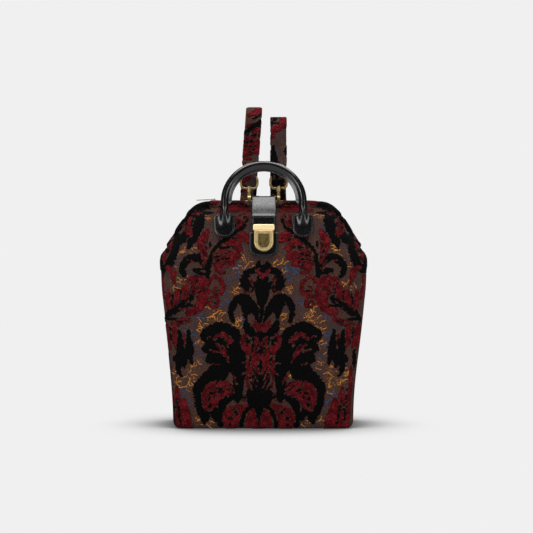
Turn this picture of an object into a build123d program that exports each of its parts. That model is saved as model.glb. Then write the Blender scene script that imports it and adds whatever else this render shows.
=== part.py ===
from build123d import *
import math
import os

os.makedirs("parts", exist_ok=True)

# Cloth body: half sizes from the middle of the base, X right, Y to the back, Z up
BASE_HALF_WIDTH = 140.0
SHOULDER_HALF_WIDTH = 164.0
BODY_HALF_DEPTH = 77.0
SIDE_HALF_DEPTH = 66.0
FLAT_HALF_WIDTH = 79.0
CLOTH = 3.0
SEWN_GAP = 0.3
BOARD = 2.5
BOARD_MARGIN = 6.0
# Each level of the lower body: shares of hinge height, widening, half depth and side half depth
level_shares = (
    (0.0, 0.0, 0.94, 1.0),
    (0.15, 0.06, 0.99, 1.02),
    (0.48, 0.42, 1.0, 0.86),
    (0.80, 0.88, 0.965, 0.56),
)

# Hinged frame of two bent tubes, one in the top of each cloth half
HINGE_HALF_WIDTH = 158.0
HINGE_HEIGHT = 268.0
FRAME_CORNER = 104.6
FRAME_BEND = 30.0
TUBE_RADIUS = 5.0
TUBE_BORE = 4.0
CASING_RADIUS = 10.0
CASING_INSET = 8.0
MOUTH_GAP = 1.0
LUG = 2.0
LUG_RADIUS = 4.8
LUG_GAP = 1.0
PIN_RADIUS = 2.0
PIN_HEAD_RADIUS = 3.6
PIN_HEAD = 1.2
PIN_CLEARANCE = 0.08

# Upper front and back: a leaning wall up to the crest, then a narrow roof to the frame
HINGE_HALF_DEPTH = 68.0
CREST_RISE = 62.0
CREST_HALF_DEPTH = 50.0
ROOF_RISE = 12.0
FRAME_RISE = 6.0
SWING_CLEARANCE = 6.0
PARTING_GAP = 0.8
GUSSET_DROP = 10.0

# Zip between the two casings
ZIP_HALF_LENGTH = 86.0
ZIP_FRONT_START = 68.0
TAPE_DROP = 4.5
TAPE_HALF_WIDTH = 4.0
TEETH_HALF_WIDTH = 2.4
TEETH = 2.0
TEETH_LIFT = 7.2
SLIDER_PLACE = 79.0
SLIDER_LENGTH = 11.0
SLIDER_HALF_WIDTH = 4.4
SLIDER_PLATE = 1.2
SLIDER_LIP = 1.0
SLIDER_CLEARANCE = 0.4
BAIL_RADIUS = 0.7
BAIL_POST = 0.8
PULL_LENGTH = 29.0
PULL_WIDTH = 4.6
PULL = 1.2
PULL_EYE_RADIUS = 1.3
PULL_SLOPE_DEG = -2.5
PULL_CLEARANCE = 0.1

# Leather tab over the top, hinged where it is sewn behind the rear casing
TAB_WIDTH = 38.0
TAB = 3.0
TAB_AXIS_DEPTH = 24.0
TAB_AXIS_LIFT = 2.0
TAB_ROLL_RADIUS = 2.0
TAB_TOP_DEPTH = 17.0
TAB_TOP_LIFT = 15.9
ANCHOR = 3.0

# Tuck lock, in the plane of the leaning wall: distances up the wall from the hinge line
PATCH_WIDTH = 46.0
PATCH_LOW = -1.0
PATCH_HIGH = 38.0
PATCH = 2.5
PATCH_CORNER = 15.3
CASE_WIDTH = 30.0
CASE_LOW = 7.3
CASE_HIGH = 40.6
CASE = 5.2
CASE_FLOOR = 0.8
BUTTON_WIDTH = 16.8
BUTTON_LOW = 13.0
BUTTON_HIGH = 34.5
BUTTON_STAND = 1.5
BUTTON_TRAVEL = 2.0
BUTTON_GAP = 0.5
BUTTON_LIP = 1.2
BUTTON_RIM = 2.6
SLOT_HALF_WIDTH = 8.0
SLOT_DEPTH = 3.6
TONGUE_HALF_WIDTH = 6.5
TONGUE = 1.4
TONGUE_REACH = 3.2
BAR_WIDTH = 33.5
BAR_HEIGHT = 9.5
BAR = 4.6
BAR_CORNER = 2.0

# Rolled leather handle, sewn to the wall by two flat ends
HANDLE_RADIUS = 61.5
HANDLE_TUBE_RADIUS = 6.0
HANDLE_FOOT = 72.0
HANDLE_RISE = 16.0
HANDLE_LIFT = 7.0
FLANGE_WIDTH = 5.5
FLANGE = 2.0
END_WIDTH = 32.0
END_HEIGHT = 42.0
END = 3.4
END_CORNER = 13.0
END_TAPER = 26.0
END_TIP_RADIUS = 1.3

# Shoulder straps, their rings and swivel hooks
STRAP_WIDTH = 28.0
STRAP = 4.0
STRAP_FRONT_INSET = 8.0
STRAP_BACK_GAP = 9.0
STRAP_PLACE = 24.0
STRAP_BEND_LIFTS = (144.0, 128.0)
STRAP_LEANS_DEG = (4.0, 0.0)
STRAP_FORK_LIFT = 4.0
STRAP_FOOT_PLACE = 95.0
STRAP_FOOT_TURN = 165.0
STRAP_BEND_RADIUS = 70.0
RING_WIDTH = 31.0
RING_HEIGHT = 23.0
RING_WIRE = 3.6
RING_CORNER = 9.0
RING_ROUND = 1.3
UPPER_HOOK_LIFT = 10.8
LOWER_HOOK_HEIGHT = 52.0
HOOK_RADIUS = 8.5
HOOK_BORE = 5.0
HOOK = 5.0
HOOK_STEM = 5.0
HOOK_SEAT_GAP = 0.4
POST_RADIUS = 1.6
POST_HEAD_RADIUS = 2.8
POST_HEAD = 1.4
BOSS_RADIUS = 3.6
BOSS = 5.4
SWIVEL_CLEARANCE = 0.1
GATE_LOW_DEG = -10.0
GATE_REACH_DEG = 80.0
GATE_LENGTH = 8.1
GATE_END_GAP = 0.4
GATE_PIVOT_DEG = -25.0
GATE_SLOT_DEG = -48.0
GATE = 3.0
GATE_SIDE_GAP = 0.3
GATE_PIN_RADIUS = 0.8
GATE_PIN_CLEARANCE = 0.06
LOOP_WIDTH = 18.0
LOOP_RADIUS = 4.6
LOOP_BORE = 2.8
LOOP_SEAT_GAP = 0.6

OVERRUN = 20.0

# Heights, depths and places that follow from the sizes above
crest_height = HINGE_HEIGHT + CREST_RISE
roof_height = crest_height + ROOF_RISE
frame_height = roof_height + FRAME_RISE
casing_end = HINGE_HALF_WIDTH - CASING_INSET
tab_axis_height = frame_height + TAB_AXIS_LIFT
strap_front_depth = CREST_HALF_DEPTH - STRAP_FRONT_INSET
strap_back_depth = BODY_HALF_DEPTH + STRAP_BACK_GAP
strap_fork_height = frame_height + STRAP_FORK_LIFT
upper_hook_height = frame_height + UPPER_HOOK_LIFT


def save(node, *shapes):
    """Write one node as its own STEP file, in millimetres."""
    solids = [solid for shape in shapes for solid in shape.solids()]
    body = solids[0] if len(solids) == 1 else Compound(children=solids)
    body.label = node
    export_step(body, f"parts/{node}.step")


def levels():
    """Height, half width, half depth and side half depth of the lower body's sections."""
    rows = []
    for height, width, depth, side in level_shares:
        half_width = BASE_HALF_WIDTH + width * (SHOULDER_HALF_WIDTH - BASE_HALF_WIDTH)
        half_depth = depth * BODY_HALF_DEPTH
        rows.append((CLOTH + height * (HINGE_HEIGHT - CLOTH), half_width, half_depth, side * SIDE_HALF_DEPTH))
    rows.append((HINGE_HEIGHT, SHOULDER_HALF_WIDTH, HINGE_HALF_DEPTH, rim_half_depth))
    return rows


def front_line(half_width, half_depth, side_depth):
    """The plan of the front: flat in the middle, with an arc back to each side."""
    flat_end = (FLAT_HALF_WIDTH, -half_depth)
    right = TangentArc(flat_end, (half_width, -side_depth), tangent=(1, 0))
    left = mirror(right, Plane.YZ)
    return left, Line((-FLAT_HALF_WIDTH, -half_depth), flat_end), right


def wall_section(height, half_width, half_depth, side_depth):
    """A bowed strip of cloth across the front at one height."""
    outer = front_line(half_width, half_depth, side_depth)
    inner = front_line(half_width, half_depth - CLOTH, side_depth - CLOTH)
    right = Line((half_width, -side_depth), (half_width, CLOTH - side_depth))
    left = Line((-half_width, CLOTH - side_depth), (-half_width, -side_depth))
    return Pos(0, 0, height) * make_face([*outer, right, *inner, left])


def plan_face(half_width, half_depth, side_depth):
    """The bag's plan, bowed at the front and back."""
    front = front_line(half_width, half_depth, side_depth)
    back = [mirror(edge, Plane.XZ) for edge in front]
    right = Line((half_width, -side_depth), (half_width, side_depth))
    left = Line((-half_width, side_depth), (-half_width, -side_depth))
    return make_face([*front, right, *back, left])


def leg_place(height):
    """Half width of the frame's leg at a height between the hinge and the top bar."""
    run = (HINGE_HALF_WIDTH - FRAME_CORNER) / (frame_height - HINGE_HEIGHT)
    return HINGE_HALF_WIDTH - run * (height - HINGE_HEIGHT)


def across(profile, width, middle=0):
    """A profile drawn in Y and Z, drawn out along X about the given middle."""
    return extrude(Plane.YZ.offset(middle - width / 2) * profile, width)


def flat_ring(width, height, corner, wire, rounding):
    """A cast ring of even section that stands in X and Z, centred on the origin."""
    inner_corner = max(corner - wire, wire / 2)
    outline = RectangleRounded(width, height, corner)
    outline -= RectangleRounded(width - 2 * wire, height - 2 * wire, inner_corner)
    ring = extrude(outline, wire / 2, both=True)
    ring = fillet(ring.edges(), rounding)
    return Rot(90, 0, 0) * ring


frame_depth = CASING_RADIUS + MOUTH_GAP / 2
casing_face = frame_depth + CASING_RADIUS
rim_half_depth = casing_face + SEWN_GAP + CLOTH

# Front and back cloth: a lofted lower wall, a leaning upper wall and a roof that ends under the casing
lower_wall = loft([wall_section(*row) for row in levels()])
hinge_row = levels()[-1]
crest_row = (crest_height, leg_place(crest_height), CREST_HALF_DEPTH, rim_half_depth)
roof_row = (roof_height, leg_place(roof_height), rim_half_depth + SEWN_GAP, rim_half_depth)
upper_wall = loft([wall_section(*hinge_row), wall_section(*crest_row)], ruled=True)
roof_wall = loft([wall_section(*crest_row), wall_section(*roof_row)], ruled=True)
whole_wall = lower_wall + upper_wall + roof_wall

# The hinged half lies inside a form turned about the hinge line, so it swings clear of the lower wall
swing_radius = math.hypot(frame_height + CASING_RADIUS - HINGE_HEIGHT, casing_face) + SWING_CLEARANCE
end_radius = rim_half_depth + SWING_CLEARANCE
swing_end = HINGE_HALF_WIDTH - PARTING_GAP


def swing_form(grow):
    """Everything that the hinged front half may sweep, grown by a gap."""
    right_side = (
        (0, 0),
        (0, swing_radius + grow),
        (FRAME_CORNER, swing_radius + grow),
        (swing_end + grow, end_radius + grow),
        (swing_end + grow, 0),
    )
    half = revolve(make_face(Polyline(*right_side, close=True)), Axis.X)
    return Pos(0, 0, HINGE_HEIGHT) * (half + mirror(half, Plane.YZ))


front_panel_upper = whole_wall & swing_form(0)
front_panel_lower = whole_wall - swing_form(PARTING_GAP)
back_panel = mirror(whole_wall, Plane.XZ)
save("front_panel_upper", front_panel_upper)
save("front_panel_lower", front_panel_lower)
save("back_panel", back_panel)

# Side gussets, inside the ends of the front and back walls
gusset_sections = []
for height, half_width, half_depth, side_depth in levels():
    half_span = side_depth - CLOTH - SEWN_GAP
    corners = (
        (half_width - CLOTH, -half_span),
        (half_width, -half_span),
        (half_width, half_span),
        (half_width - CLOTH, half_span),
    )
    gusset_sections.append(Pos(0, 0, height) * make_face(Polyline(*corners, close=True)))
gusset_top = HINGE_HEIGHT - GUSSET_DROP
above = Pos(0, 0, gusset_top + OVERRUN) * Box(4 * SHOULDER_HALF_WIDTH, 4 * BODY_HALF_DEPTH, 2 * OVERRUN)
gusset = loft(gusset_sections) - above
save("gusset_right", gusset)
save("gusset_left", mirror(gusset, Plane.YZ))

# Base panel and the board that stiffens it
_, base_width, base_depth, base_side = levels()[0]
save("base_panel", extrude(plan_face(base_width, base_depth, base_side), CLOTH))
board_inset = CLOTH + BOARD_MARGIN
board_plan = plan_face(base_width - board_inset, base_depth - board_inset, base_side - board_inset)
save("base_board", Pos(0, 0, CLOTH) * extrude(board_plan, BOARD))

# Frame tubes, their cloth casings and the hinge pins
leg_overrun = leg_place(HINGE_HEIGHT - OVERRUN)
frame_points = (
    (-leg_overrun, HINGE_HEIGHT - OVERRUN),
    (-FRAME_CORNER, frame_height),
    (FRAME_CORNER, frame_height),
    (leg_overrun, HINGE_HEIGHT - OVERRUN),
)
frame_path = Rot(90, 0, 0) * FilletPolyline(*frame_points, radius=FRAME_BEND)
frame_start = Plane(origin=frame_path @ 0, z_dir=frame_path % 0)


def along_frame(radius, half_length):
    """A round bar along the frame, cut off square at the given half length."""
    bar = sweep(frame_start * Circle(radius), path=frame_path)
    return bar & Box(2 * half_length, 4 * frame_depth, 4 * frame_height)


front_lug_place = HINGE_HALF_WIDTH - LUG - LUG_GAP / 2
rear_lug_place = HINGE_HALF_WIDTH + LUG_GAP / 2
lug_lift = leg_place(HINGE_HEIGHT) - front_lug_place


def lug(place, side, bore):
    """A hinge eye on the pin line, with an arm out to the tube on its side."""
    eye = Circle(LUG_RADIUS)
    arm = Pos(side * frame_depth, lug_lift) * Circle(TUBE_RADIUS)
    outline = make_hull(eye.edges() + arm.edges()) - Circle(bore)
    right = extrude(Plane.YZ.offset(place) * Pos(0, HINGE_HEIGHT) * outline, LUG)
    return right + mirror(right, Plane.YZ)


tube = along_frame(TUBE_RADIUS, front_lug_place + LUG) - along_frame(TUBE_BORE, FRAME_CORNER)
long_tube = along_frame(TUBE_RADIUS, rear_lug_place + LUG) - along_frame(TUBE_BORE, FRAME_CORNER)
casing = along_frame(CASING_RADIUS, casing_end) - along_frame(TUBE_RADIUS, rear_lug_place)
front_lugs = lug(front_lug_place, -1, PIN_RADIUS + PIN_CLEARANCE)
rear_lugs = lug(rear_lug_place, 1, PIN_RADIUS)
save("front_frame_tube", Pos(0, -frame_depth, 0) * tube + front_lugs)
save("rear_frame_tube", Pos(0, frame_depth, 0) * long_tube + rear_lugs)
save("front_casing", Pos(0, -frame_depth, 0) * casing)
save("rear_casing", Pos(0, frame_depth, 0) * casing)

pin_inner = front_lug_place - PIN_CLEARANCE
pin_outer = rear_lug_place + LUG


def pin_bar(start, end, radius):
    """A round bar on the hinge line between two places along X."""
    return extrude(Plane.YZ.offset(start) * Pos(0, HINGE_HEIGHT) * Circle(radius), end - start)


hinge_pin = pin_bar(pin_inner, pin_outer, PIN_RADIUS)
hinge_pin += pin_bar(pin_inner - PIN_HEAD, pin_inner, PIN_HEAD_RADIUS)
hinge_pin += pin_bar(pin_outer, pin_outer + PIN_HEAD, PIN_HEAD_RADIUS)
save("hinge_pins", hinge_pin, mirror(hinge_pin, Plane.YZ))

# Zip: a tape seated on each casing, a row of teeth on each tape, a slider and its pull
teeth_low = frame_height + TEETH_LIFT
teeth_high = teeth_low + TEETH


def zip_half(side, start):
    """One tape and its teeth from the start to the far end, on one side of the mouth."""
    length = ZIP_HALF_LENGTH + start
    middle = (ZIP_HALF_LENGTH - start) / 2
    edge = side * MOUTH_GAP / 2
    tape_face = Pos(0, teeth_low - TAPE_DROP / 2) * Rectangle(2 * TAPE_HALF_WIDTH, TAPE_DROP)
    kept = Pos(edge + side * TAPE_HALF_WIDTH, teeth_low) * Rectangle(2 * TAPE_HALF_WIDTH, 2 * TAPE_DROP)
    bar = Pos(side * frame_depth, frame_height) * Circle(CASING_RADIUS)
    tape_outline = (tape_face & kept) - bar
    tape = across(tape_outline, length, middle)
    inner = MOUTH_GAP / 2
    row_face = Pos(side * (inner + TEETH_HALF_WIDTH) / 2, teeth_low + TEETH / 2)
    row_face = row_face * Rectangle(TEETH_HALF_WIDTH - inner, TEETH)
    return tape, across(row_face, length, middle)


front_tape, front_teeth = zip_half(-1, ZIP_FRONT_START)
rear_tape, rear_teeth = zip_half(1, ZIP_HALF_LENGTH)
save("front_zip_tape", front_tape)
save("front_zip_teeth", front_teeth)
save("rear_zip_tape", rear_tape)
save("rear_zip_teeth", rear_teeth)

plate_low = teeth_high + SLIDER_CLEARANCE
plate_high = plate_low + SLIDER_PLATE
plate = Pos(0, (plate_low + plate_high) / 2) * Rectangle(2 * SLIDER_HALF_WIDTH, SLIDER_PLATE)
lip_low = teeth_low + TEETH / 2
lip = Rectangle(SLIDER_LIP, plate_high - lip_low)
lip_place = SLIDER_HALF_WIDTH - SLIDER_LIP / 2
lip_middle = (plate_high + lip_low) / 2
shell_outline = plate + Pos(lip_place, lip_middle) * lip + Pos(-lip_place, lip_middle) * lip
bail_height = plate_high + PULL_EYE_RADIUS + PULL_CLEARANCE
post = Rectangle(BAIL_POST, bail_height + BAIL_RADIUS - plate_high)
post_depth = PULL_WIDTH / 2 + PULL_CLEARANCE + BAIL_POST / 2
post_middle = (bail_height + BAIL_RADIUS + plate_high) / 2
posts = Pos(post_depth, post_middle) * post + Pos(-post_depth, post_middle) * post
slider = across(shell_outline, SLIDER_LENGTH, -SLIDER_PLACE)
slider += across(posts, 2 * BAIL_RADIUS, -SLIDER_PLACE)
slider += Pos(-SLIDER_PLACE, 0, bail_height) * Rot(90, 0, 0) * Cylinder(BAIL_RADIUS, 2 * post_depth)
save("zip_slider", slider)

pull_eye = Circle(PULL_EYE_RADIUS) + Pos(-PULL_LENGTH / 2, 0) * Rectangle(PULL_LENGTH, PULL)
pull_eye -= Circle(BAIL_RADIUS + PULL_CLEARANCE)
pull = Rot(90, 0, 0) * extrude(pull_eye, PULL_WIDTH / 2, both=True)
save("zip_pull", Pos(-SLIDER_PLACE, 0, bail_height) * Rot(0, PULL_SLOPE_DEG, 0) * pull)

# Plane of the leaning wall: across, up the wall and outwards, from the hinge line
lean = math.atan2(HINGE_HALF_DEPTH - CREST_HALF_DEPTH, crest_height - HINGE_HEIGHT)
outward = Vector(0, -math.cos(lean), math.sin(lean))
upward = Vector(0, math.sin(lean), math.cos(lean))
wall_origin = Vector(0, -HINGE_HALF_DEPTH, HINGE_HEIGHT) + outward * SEWN_GAP
wall_plane = Plane(origin=wall_origin, x_dir=(1, 0, 0), z_dir=outward)

# Lock patch, lock case, thumb button, and the tongue on the tab
patch_face = Pos(0, (PATCH_LOW + PATCH_HIGH) / 2) * Rectangle(PATCH_WIDTH, PATCH_HIGH - PATCH_LOW)
lower_corners = patch_face.vertices().sort_by(Axis.Y)[:2]
patch_face = fillet(lower_corners, PATCH_CORNER)
save("lock_patch", wall_plane * extrude(patch_face, PATCH))


def shield(width, low, high):
    """An outline with a straight top and a half-round foot."""
    foot = low + width / 2
    body = Pos(0, (foot + high) / 2) * Rectangle(width, high - foot)
    return body + Pos(0, foot) * Circle(width / 2)


case_back = PATCH + SEWN_GAP
case_front = case_back + CASE
window = shield(BUTTON_WIDTH + 2 * BUTTON_GAP, BUTTON_LOW - BUTTON_GAP, BUTTON_HIGH + BUTTON_GAP)
lock_case = Pos(0, 0, case_back) * extrude(shield(CASE_WIDTH, CASE_LOW, CASE_HIGH), CASE)
lock_case = fillet(lock_case.faces().sort_by(Axis.Z)[-1].edges(), BUTTON_LIP)
lock_case -= Pos(0, 0, case_back + CASE_FLOOR) * extrude(window, OVERRUN)
slot_low = CASE_HIGH - TONGUE_REACH - SLOT_DEPTH / 2
slot = Box(2 * SLOT_HALF_WIDTH, 2 * (CASE_HIGH - slot_low), SLOT_DEPTH)
lock_case -= Pos(0, CASE_HIGH, case_back + CASE_FLOOR + SLOT_DEPTH / 2) * slot
save("lock_case", wall_plane * lock_case)

button_front = case_front + BUTTON_STAND
button_outline = shield(BUTTON_WIDTH, BUTTON_LOW, BUTTON_HIGH)
button_back = case_back + CASE_FLOOR + BUTTON_TRAVEL + SEWN_GAP
button = Pos(0, 0, button_back) * extrude(button_outline, button_front - button_back)
dish = shield(BUTTON_WIDTH - 2 * BUTTON_RIM, BUTTON_LOW + BUTTON_RIM, BUTTON_HIGH + BUTTON_RIM)
button -= Pos(0, 0, button_front - BUTTON_LIP) * extrude(dish, OVERRUN)
save("lock_button", wall_plane * button)

bar_low = CASE_HIGH + SEWN_GAP
bar_back = case_back + CASE_FLOOR
bar = extrude(Pos(0, bar_low + BAR_HEIGHT / 2) * RectangleRounded(BAR_WIDTH, BAR_HEIGHT, BAR_CORNER), BAR)
bar = Pos(0, 0, bar_back) * bar
tongue = Box(2 * TONGUE_HALF_WIDTH, 2 * TONGUE_REACH, TONGUE)
tongue = Pos(0, bar_low, bar_back + SEWN_GAP + TONGUE / 2) * tongue
lock_tongue = fillet(bar.faces().sort_by(Axis.Z)[-1].edges(), BUTTON_LIP) + tongue
save("lock_tongue", wall_plane * lock_tongue)

# Closure tab: one band from its rolled sewn edge, over the zip and down to the tongue
tab_top = frame_height + TAB_TOP_LIFT
tab_end = wall_origin + outward * (bar_back + TAB / 2) + upward * (bar_low + BAR_HEIGHT)
crest_up = (crest_height - HINGE_HEIGHT) / math.cos(lean)
tab_knee = wall_origin + outward * (bar_back + TAB / 2) + upward * crest_up
tab_line = Polyline(
    (TAB_AXIS_DEPTH, tab_axis_height),
    (TAB_TOP_DEPTH, tab_top),
    (-TAB_TOP_DEPTH, tab_top),
    (tab_knee.Y, tab_knee.Z),
    (tab_end.Y, tab_end.Z),
)
tab_band = trace(tab_line, TAB)
roll = Pos(TAB_AXIS_DEPTH, tab_axis_height) * Circle(TAB_ROLL_RADIUS)
tab = across(tab_band + roll, TAB_WIDTH)
tab -= wall_plane * Pos(0, bar_low, 0) * Box(2 * BAR_WIDTH, 2 * BAR_HEIGHT, 2 * OVERRUN)
save("closure_tab", tab)

anchor_top = tab_axis_height - TAB_ROLL_RADIUS - SEWN_GAP
anchor_drop = anchor_top - roof_height - SEWN_GAP
anchor_face = Pos(TAB_AXIS_DEPTH, anchor_top - anchor_drop / 2) * Rectangle(ANCHOR, anchor_drop)
save("tab_anchor", across(anchor_face, TAB_WIDTH))

# Handle: a rolled tube with its seam flange inside the arch and a flat sewn end under each leg
arch_low = HANDLE_FOOT + HANDLE_RISE
handle_line = Line((-HANDLE_RADIUS, HANDLE_FOOT), (-HANDLE_RADIUS, arch_low))
arch_top = (0, arch_low + HANDLE_RADIUS)
handle_line += ThreePointArc((-HANDLE_RADIUS, arch_low), arch_top, (HANDLE_RADIUS, arch_low))
handle_line += Line((HANDLE_RADIUS, arch_low), (HANDLE_RADIUS, HANDLE_FOOT))
foot_plane = Plane(origin=handle_line @ 0, z_dir=handle_line % 0)
arch = sweep(foot_plane * Circle(HANDLE_TUBE_RADIUS), path=handle_line)
flange_outer = HANDLE_RADIUS - HANDLE_TUBE_RADIUS / 2
flange_inner = HANDLE_RADIUS - HANDLE_TUBE_RADIUS - FLANGE_WIDTH
flange_face = Pos(0, arch_low) * (Circle(flange_outer) - Circle(flange_inner))
flange_face &= Pos(0, arch_low + HANDLE_RADIUS) * Rectangle(4 * HANDLE_RADIUS, 2 * HANDLE_RADIUS)
arch += extrude(flange_face, FLANGE / 2, both=True)
handle = Pos(0, 0, HANDLE_LIFT) * arch
for side in (-1, 1):
    end_face = RectangleRounded(END_WIDTH, END_HEIGHT, END_CORNER)
    handle += Pos(side * HANDLE_RADIUS, HANDLE_FOOT - END_HEIGHT / 2, 0) * extrude(end_face, END)
    foot_place = Pos(side * HANDLE_RADIUS, HANDLE_FOOT, HANDLE_LIFT) * Rot(-90, 0, 0)
    tip_place = Pos(side * HANDLE_RADIUS, HANDLE_FOOT - END_TAPER, END / 2) * Rot(-90, 0, 0)
    taper_ends = [foot_place * Circle(HANDLE_TUBE_RADIUS), tip_place * Circle(END_TIP_RADIUS)]
    handle += loft(taper_ends, ruled=True)
save("handle", wall_plane * handle)

# Straps: a front strip, a bend at the top and a back strip that parts to the lower corners
ring_middle = HOOK_RADIUS + HOOK_STEM + BOSS + RING_HEIGHT / 2 - RING_WIRE / 2
hook_lift = HOOK_BORE - RING_WIRE / 2 - HOOK_SEAT_GAP
strap_low = upper_hook_height + hook_lift + ring_middle + RING_HEIGHT / 2
foot_end = LOWER_HOOK_HEIGHT + hook_lift + ring_middle + RING_HEIGHT / 2
bend_radius = (strap_back_depth - strap_front_depth) / 2
bend_depth = (strap_back_depth + strap_front_depth) / 2
sides = (("left", -1), ("right", 1))
for (name, side), bend_lift, lean_deg in zip(sides, STRAP_BEND_LIFTS, STRAP_LEANS_DEG):
    bend_height = frame_height + bend_lift
    strip_height = bend_height - strap_low
    front_strip = Pos(strap_front_depth, strap_low + strip_height / 2) * Rectangle(STRAP, strip_height)
    bend = Circle(bend_radius + STRAP / 2) - Circle(bend_radius - STRAP / 2)
    bend &= Pos(0, bend_radius) * Rectangle(4 * bend_radius, 2 * bend_radius)
    strap = across(front_strip + Pos(bend_depth, bend_height) * bend, STRAP_WIDTH)
    foot_place = side * (STRAP_FOOT_PLACE - STRAP_PLACE)
    knee = Vector(foot_place, STRAP_FOOT_TURN - strap_low).rotate(Axis.Z, lean_deg)
    foot = Vector(foot_place, foot_end - strap_low).rotate(Axis.Z, lean_deg)
    edges = []
    for half in (-STRAP_WIDTH / 2, STRAP_WIDTH / 2):
        edge_points = (
            (half, bend_height),
            (half, strap_fork_height),
            (knee.X + half, strap_low + knee.Y),
            (foot.X + half, strap_low + foot.Y),
        )
        edges.append(FilletPolyline(*edge_points, radius=STRAP_BEND_RADIUS))
    top_line = Line(edges[0] @ 0, edges[1] @ 0)
    foot_line = Line(edges[0] @ 1, edges[1] @ 1)
    back_face = make_face([edges[0], foot_line, edges[1], top_line])
    back_strip = Pos(0, strap_back_depth + STRAP / 2, 0) * Rot(90, 0, 0) * extrude(back_face, STRAP)
    leaning = Pos(0, 0, strap_low) * Rot(0, lean_deg, 0) * Pos(0, 0, -strap_low)
    strap = Pos(side * STRAP_PLACE, 0, 0) * leaning * (strap + back_strip)
    level_cut = Box(2 * STRAP_WIDTH, 2 * STRAP, OVERRUN)
    strap -= Pos(side * STRAP_PLACE, strap_front_depth, strap_low - OVERRUN / 2) * level_cut
    strap -= Pos(side * STRAP_FOOT_PLACE, strap_back_depth, foot_end - OVERRUN / 2) * level_cut
    save(f"strap_{name}", strap)

# Rings and swivel hooks: one set at the top and one at the foot of each strap
gate_radius = (HOOK_RADIUS + HOOK_BORE) / 2
pivot_angle = math.radians(GATE_PIVOT_DEG)
pivot = Pos(gate_radius * math.cos(pivot_angle), gate_radius * math.sin(pivot_angle))


def sector(low_deg, high_deg):
    """A wedge between two angles, wider than the hook."""
    points = [(0, 0)]
    reach = 4 * HOOK_RADIUS
    for angle in (low_deg, (low_deg + high_deg) / 2, high_deg):
        turn = math.radians(angle)
        points.append((reach * math.cos(turn), reach * math.sin(turn)))
    return make_face(Polyline(*points, close=True))


def hook_set(place, depth, height, loop_face):
    """Strap ring, hook, gate, D-ring and sewn loop round the point that the hook holds."""
    at = Pos(place, depth, height)
    band = Circle(HOOK_RADIUS) - Circle(HOOK_BORE)
    mouth = sector(GATE_LOW_DEG, GATE_REACH_DEG) & pivot * Circle(GATE_LENGTH + GATE_END_GAP)
    jaw = band - mouth
    jaw += Pos(0, gate_radius + HOOK_STEM / 2) * Rectangle(HOOK_STEM, HOOK_STEM)
    hook = across(jaw, HOOK)
    hook -= across(band & sector(GATE_SLOT_DEG, 0), GATE + 2 * GATE_SIDE_GAP)
    hook += across(pivot * Circle(GATE_PIN_RADIUS), HOOK)
    boss_low = HOOK_RADIUS + HOOK_STEM
    boss_high = boss_low + BOSS + RING_WIRE / 2
    post_low = boss_low - HOOK_STEM / 2
    post_top = boss_high + SWIVEL_CLEARANCE + POST_HEAD
    hook += Pos(0, 0, (post_low + post_top) / 2) * Cylinder(POST_RADIUS, post_top - post_low)
    hook += Pos(0, 0, post_top - POST_HEAD / 2) * Cylinder(POST_HEAD_RADIUS, POST_HEAD)
    gate_face = band & sector(GATE_PIVOT_DEG, GATE_REACH_DEG) & pivot * Circle(GATE_LENGTH)
    gate_face += pivot * Circle((HOOK_RADIUS - HOOK_BORE) / 2)
    gate_face -= pivot * Circle(GATE_PIN_RADIUS + GATE_PIN_CLEARANCE)
    gate = across(gate_face, GATE)
    boss = Cylinder(BOSS_RADIUS, boss_high - boss_low - SWIVEL_CLEARANCE)
    boss = Pos(0, 0, (boss_low + boss_high) / 2) * boss
    bore = Pos(0, 0, boss_high) * Cylinder(POST_RADIUS + SWIVEL_CLEARANCE, 4 * BOSS)
    eye = Pos(0, 0, ring_middle) * flat_ring(RING_WIDTH, RING_HEIGHT, RING_CORNER, RING_WIRE, RING_ROUND)
    eye = eye + boss - bore
    d_ring = flat_ring(RING_WIDTH, RING_HEIGHT, RING_CORNER, RING_WIRE, RING_ROUND)
    d_ring = Pos(0, 0, RING_WIRE / 2 - RING_HEIGHT / 2) * d_ring
    loop = across(loop_face - Pos(0, RING_WIRE - RING_HEIGHT) * Circle(LOOP_BORE), LOOP_WIDTH)
    lift = Pos(0, 0, hook_lift)
    return [at * piece for piece in (lift * eye, lift * hook, lift * gate, d_ring, loop)]


bar_drop = RING_HEIGHT - RING_WIRE
loop_head = Pos(0, -bar_drop) * Circle(LOOP_RADIUS)
roof_run = (CREST_HALF_DEPTH - rim_half_depth) / (roof_height - crest_height)
roof_at_loop = crest_height + (CREST_HALF_DEPTH - strap_front_depth + LOOP_RADIUS) / roof_run
upper_drop = upper_hook_height - bar_drop - roof_at_loop - LOOP_SEAT_GAP
upper_loop = loop_head + Pos(0, -bar_drop - upper_drop / 2) * Rectangle(2 * LOOP_RADIUS, upper_drop)
_, foot_width, foot_depth, foot_side = levels()[1]
foot_run = foot_width - FLAT_HALF_WIDTH
foot_drop = foot_depth - foot_side
foot_curve = (foot_run**2 + foot_drop**2) / (2 * foot_drop)
foot_sag = foot_curve - math.sqrt(foot_curve**2 - (STRAP_FOOT_PLACE - FLAT_HALF_WIDTH) ** 2)
loop_reach = strap_back_depth - foot_depth + foot_sag - LOOP_SEAT_GAP
lower_loop = loop_head + Pos(-loop_reach / 2, -bar_drop) * Rectangle(loop_reach, 2 * LOOP_RADIUS)
piece_names = ("strap_ring", "hook", "gate", "d_ring", "ring_loop")
for name, side in sides:
    upper = hook_set(side * STRAP_PLACE, strap_front_depth, upper_hook_height, upper_loop)
    lower = hook_set(side * STRAP_FOOT_PLACE, strap_back_depth, LOWER_HOOK_HEIGHT, lower_loop)
    for level, pieces in (("upper", upper), ("lower", lower)):
        for piece_name, piece in zip(piece_names, pieces):
            save(f"{level}_{piece_name}_{name}", piece)
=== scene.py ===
import math

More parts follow.
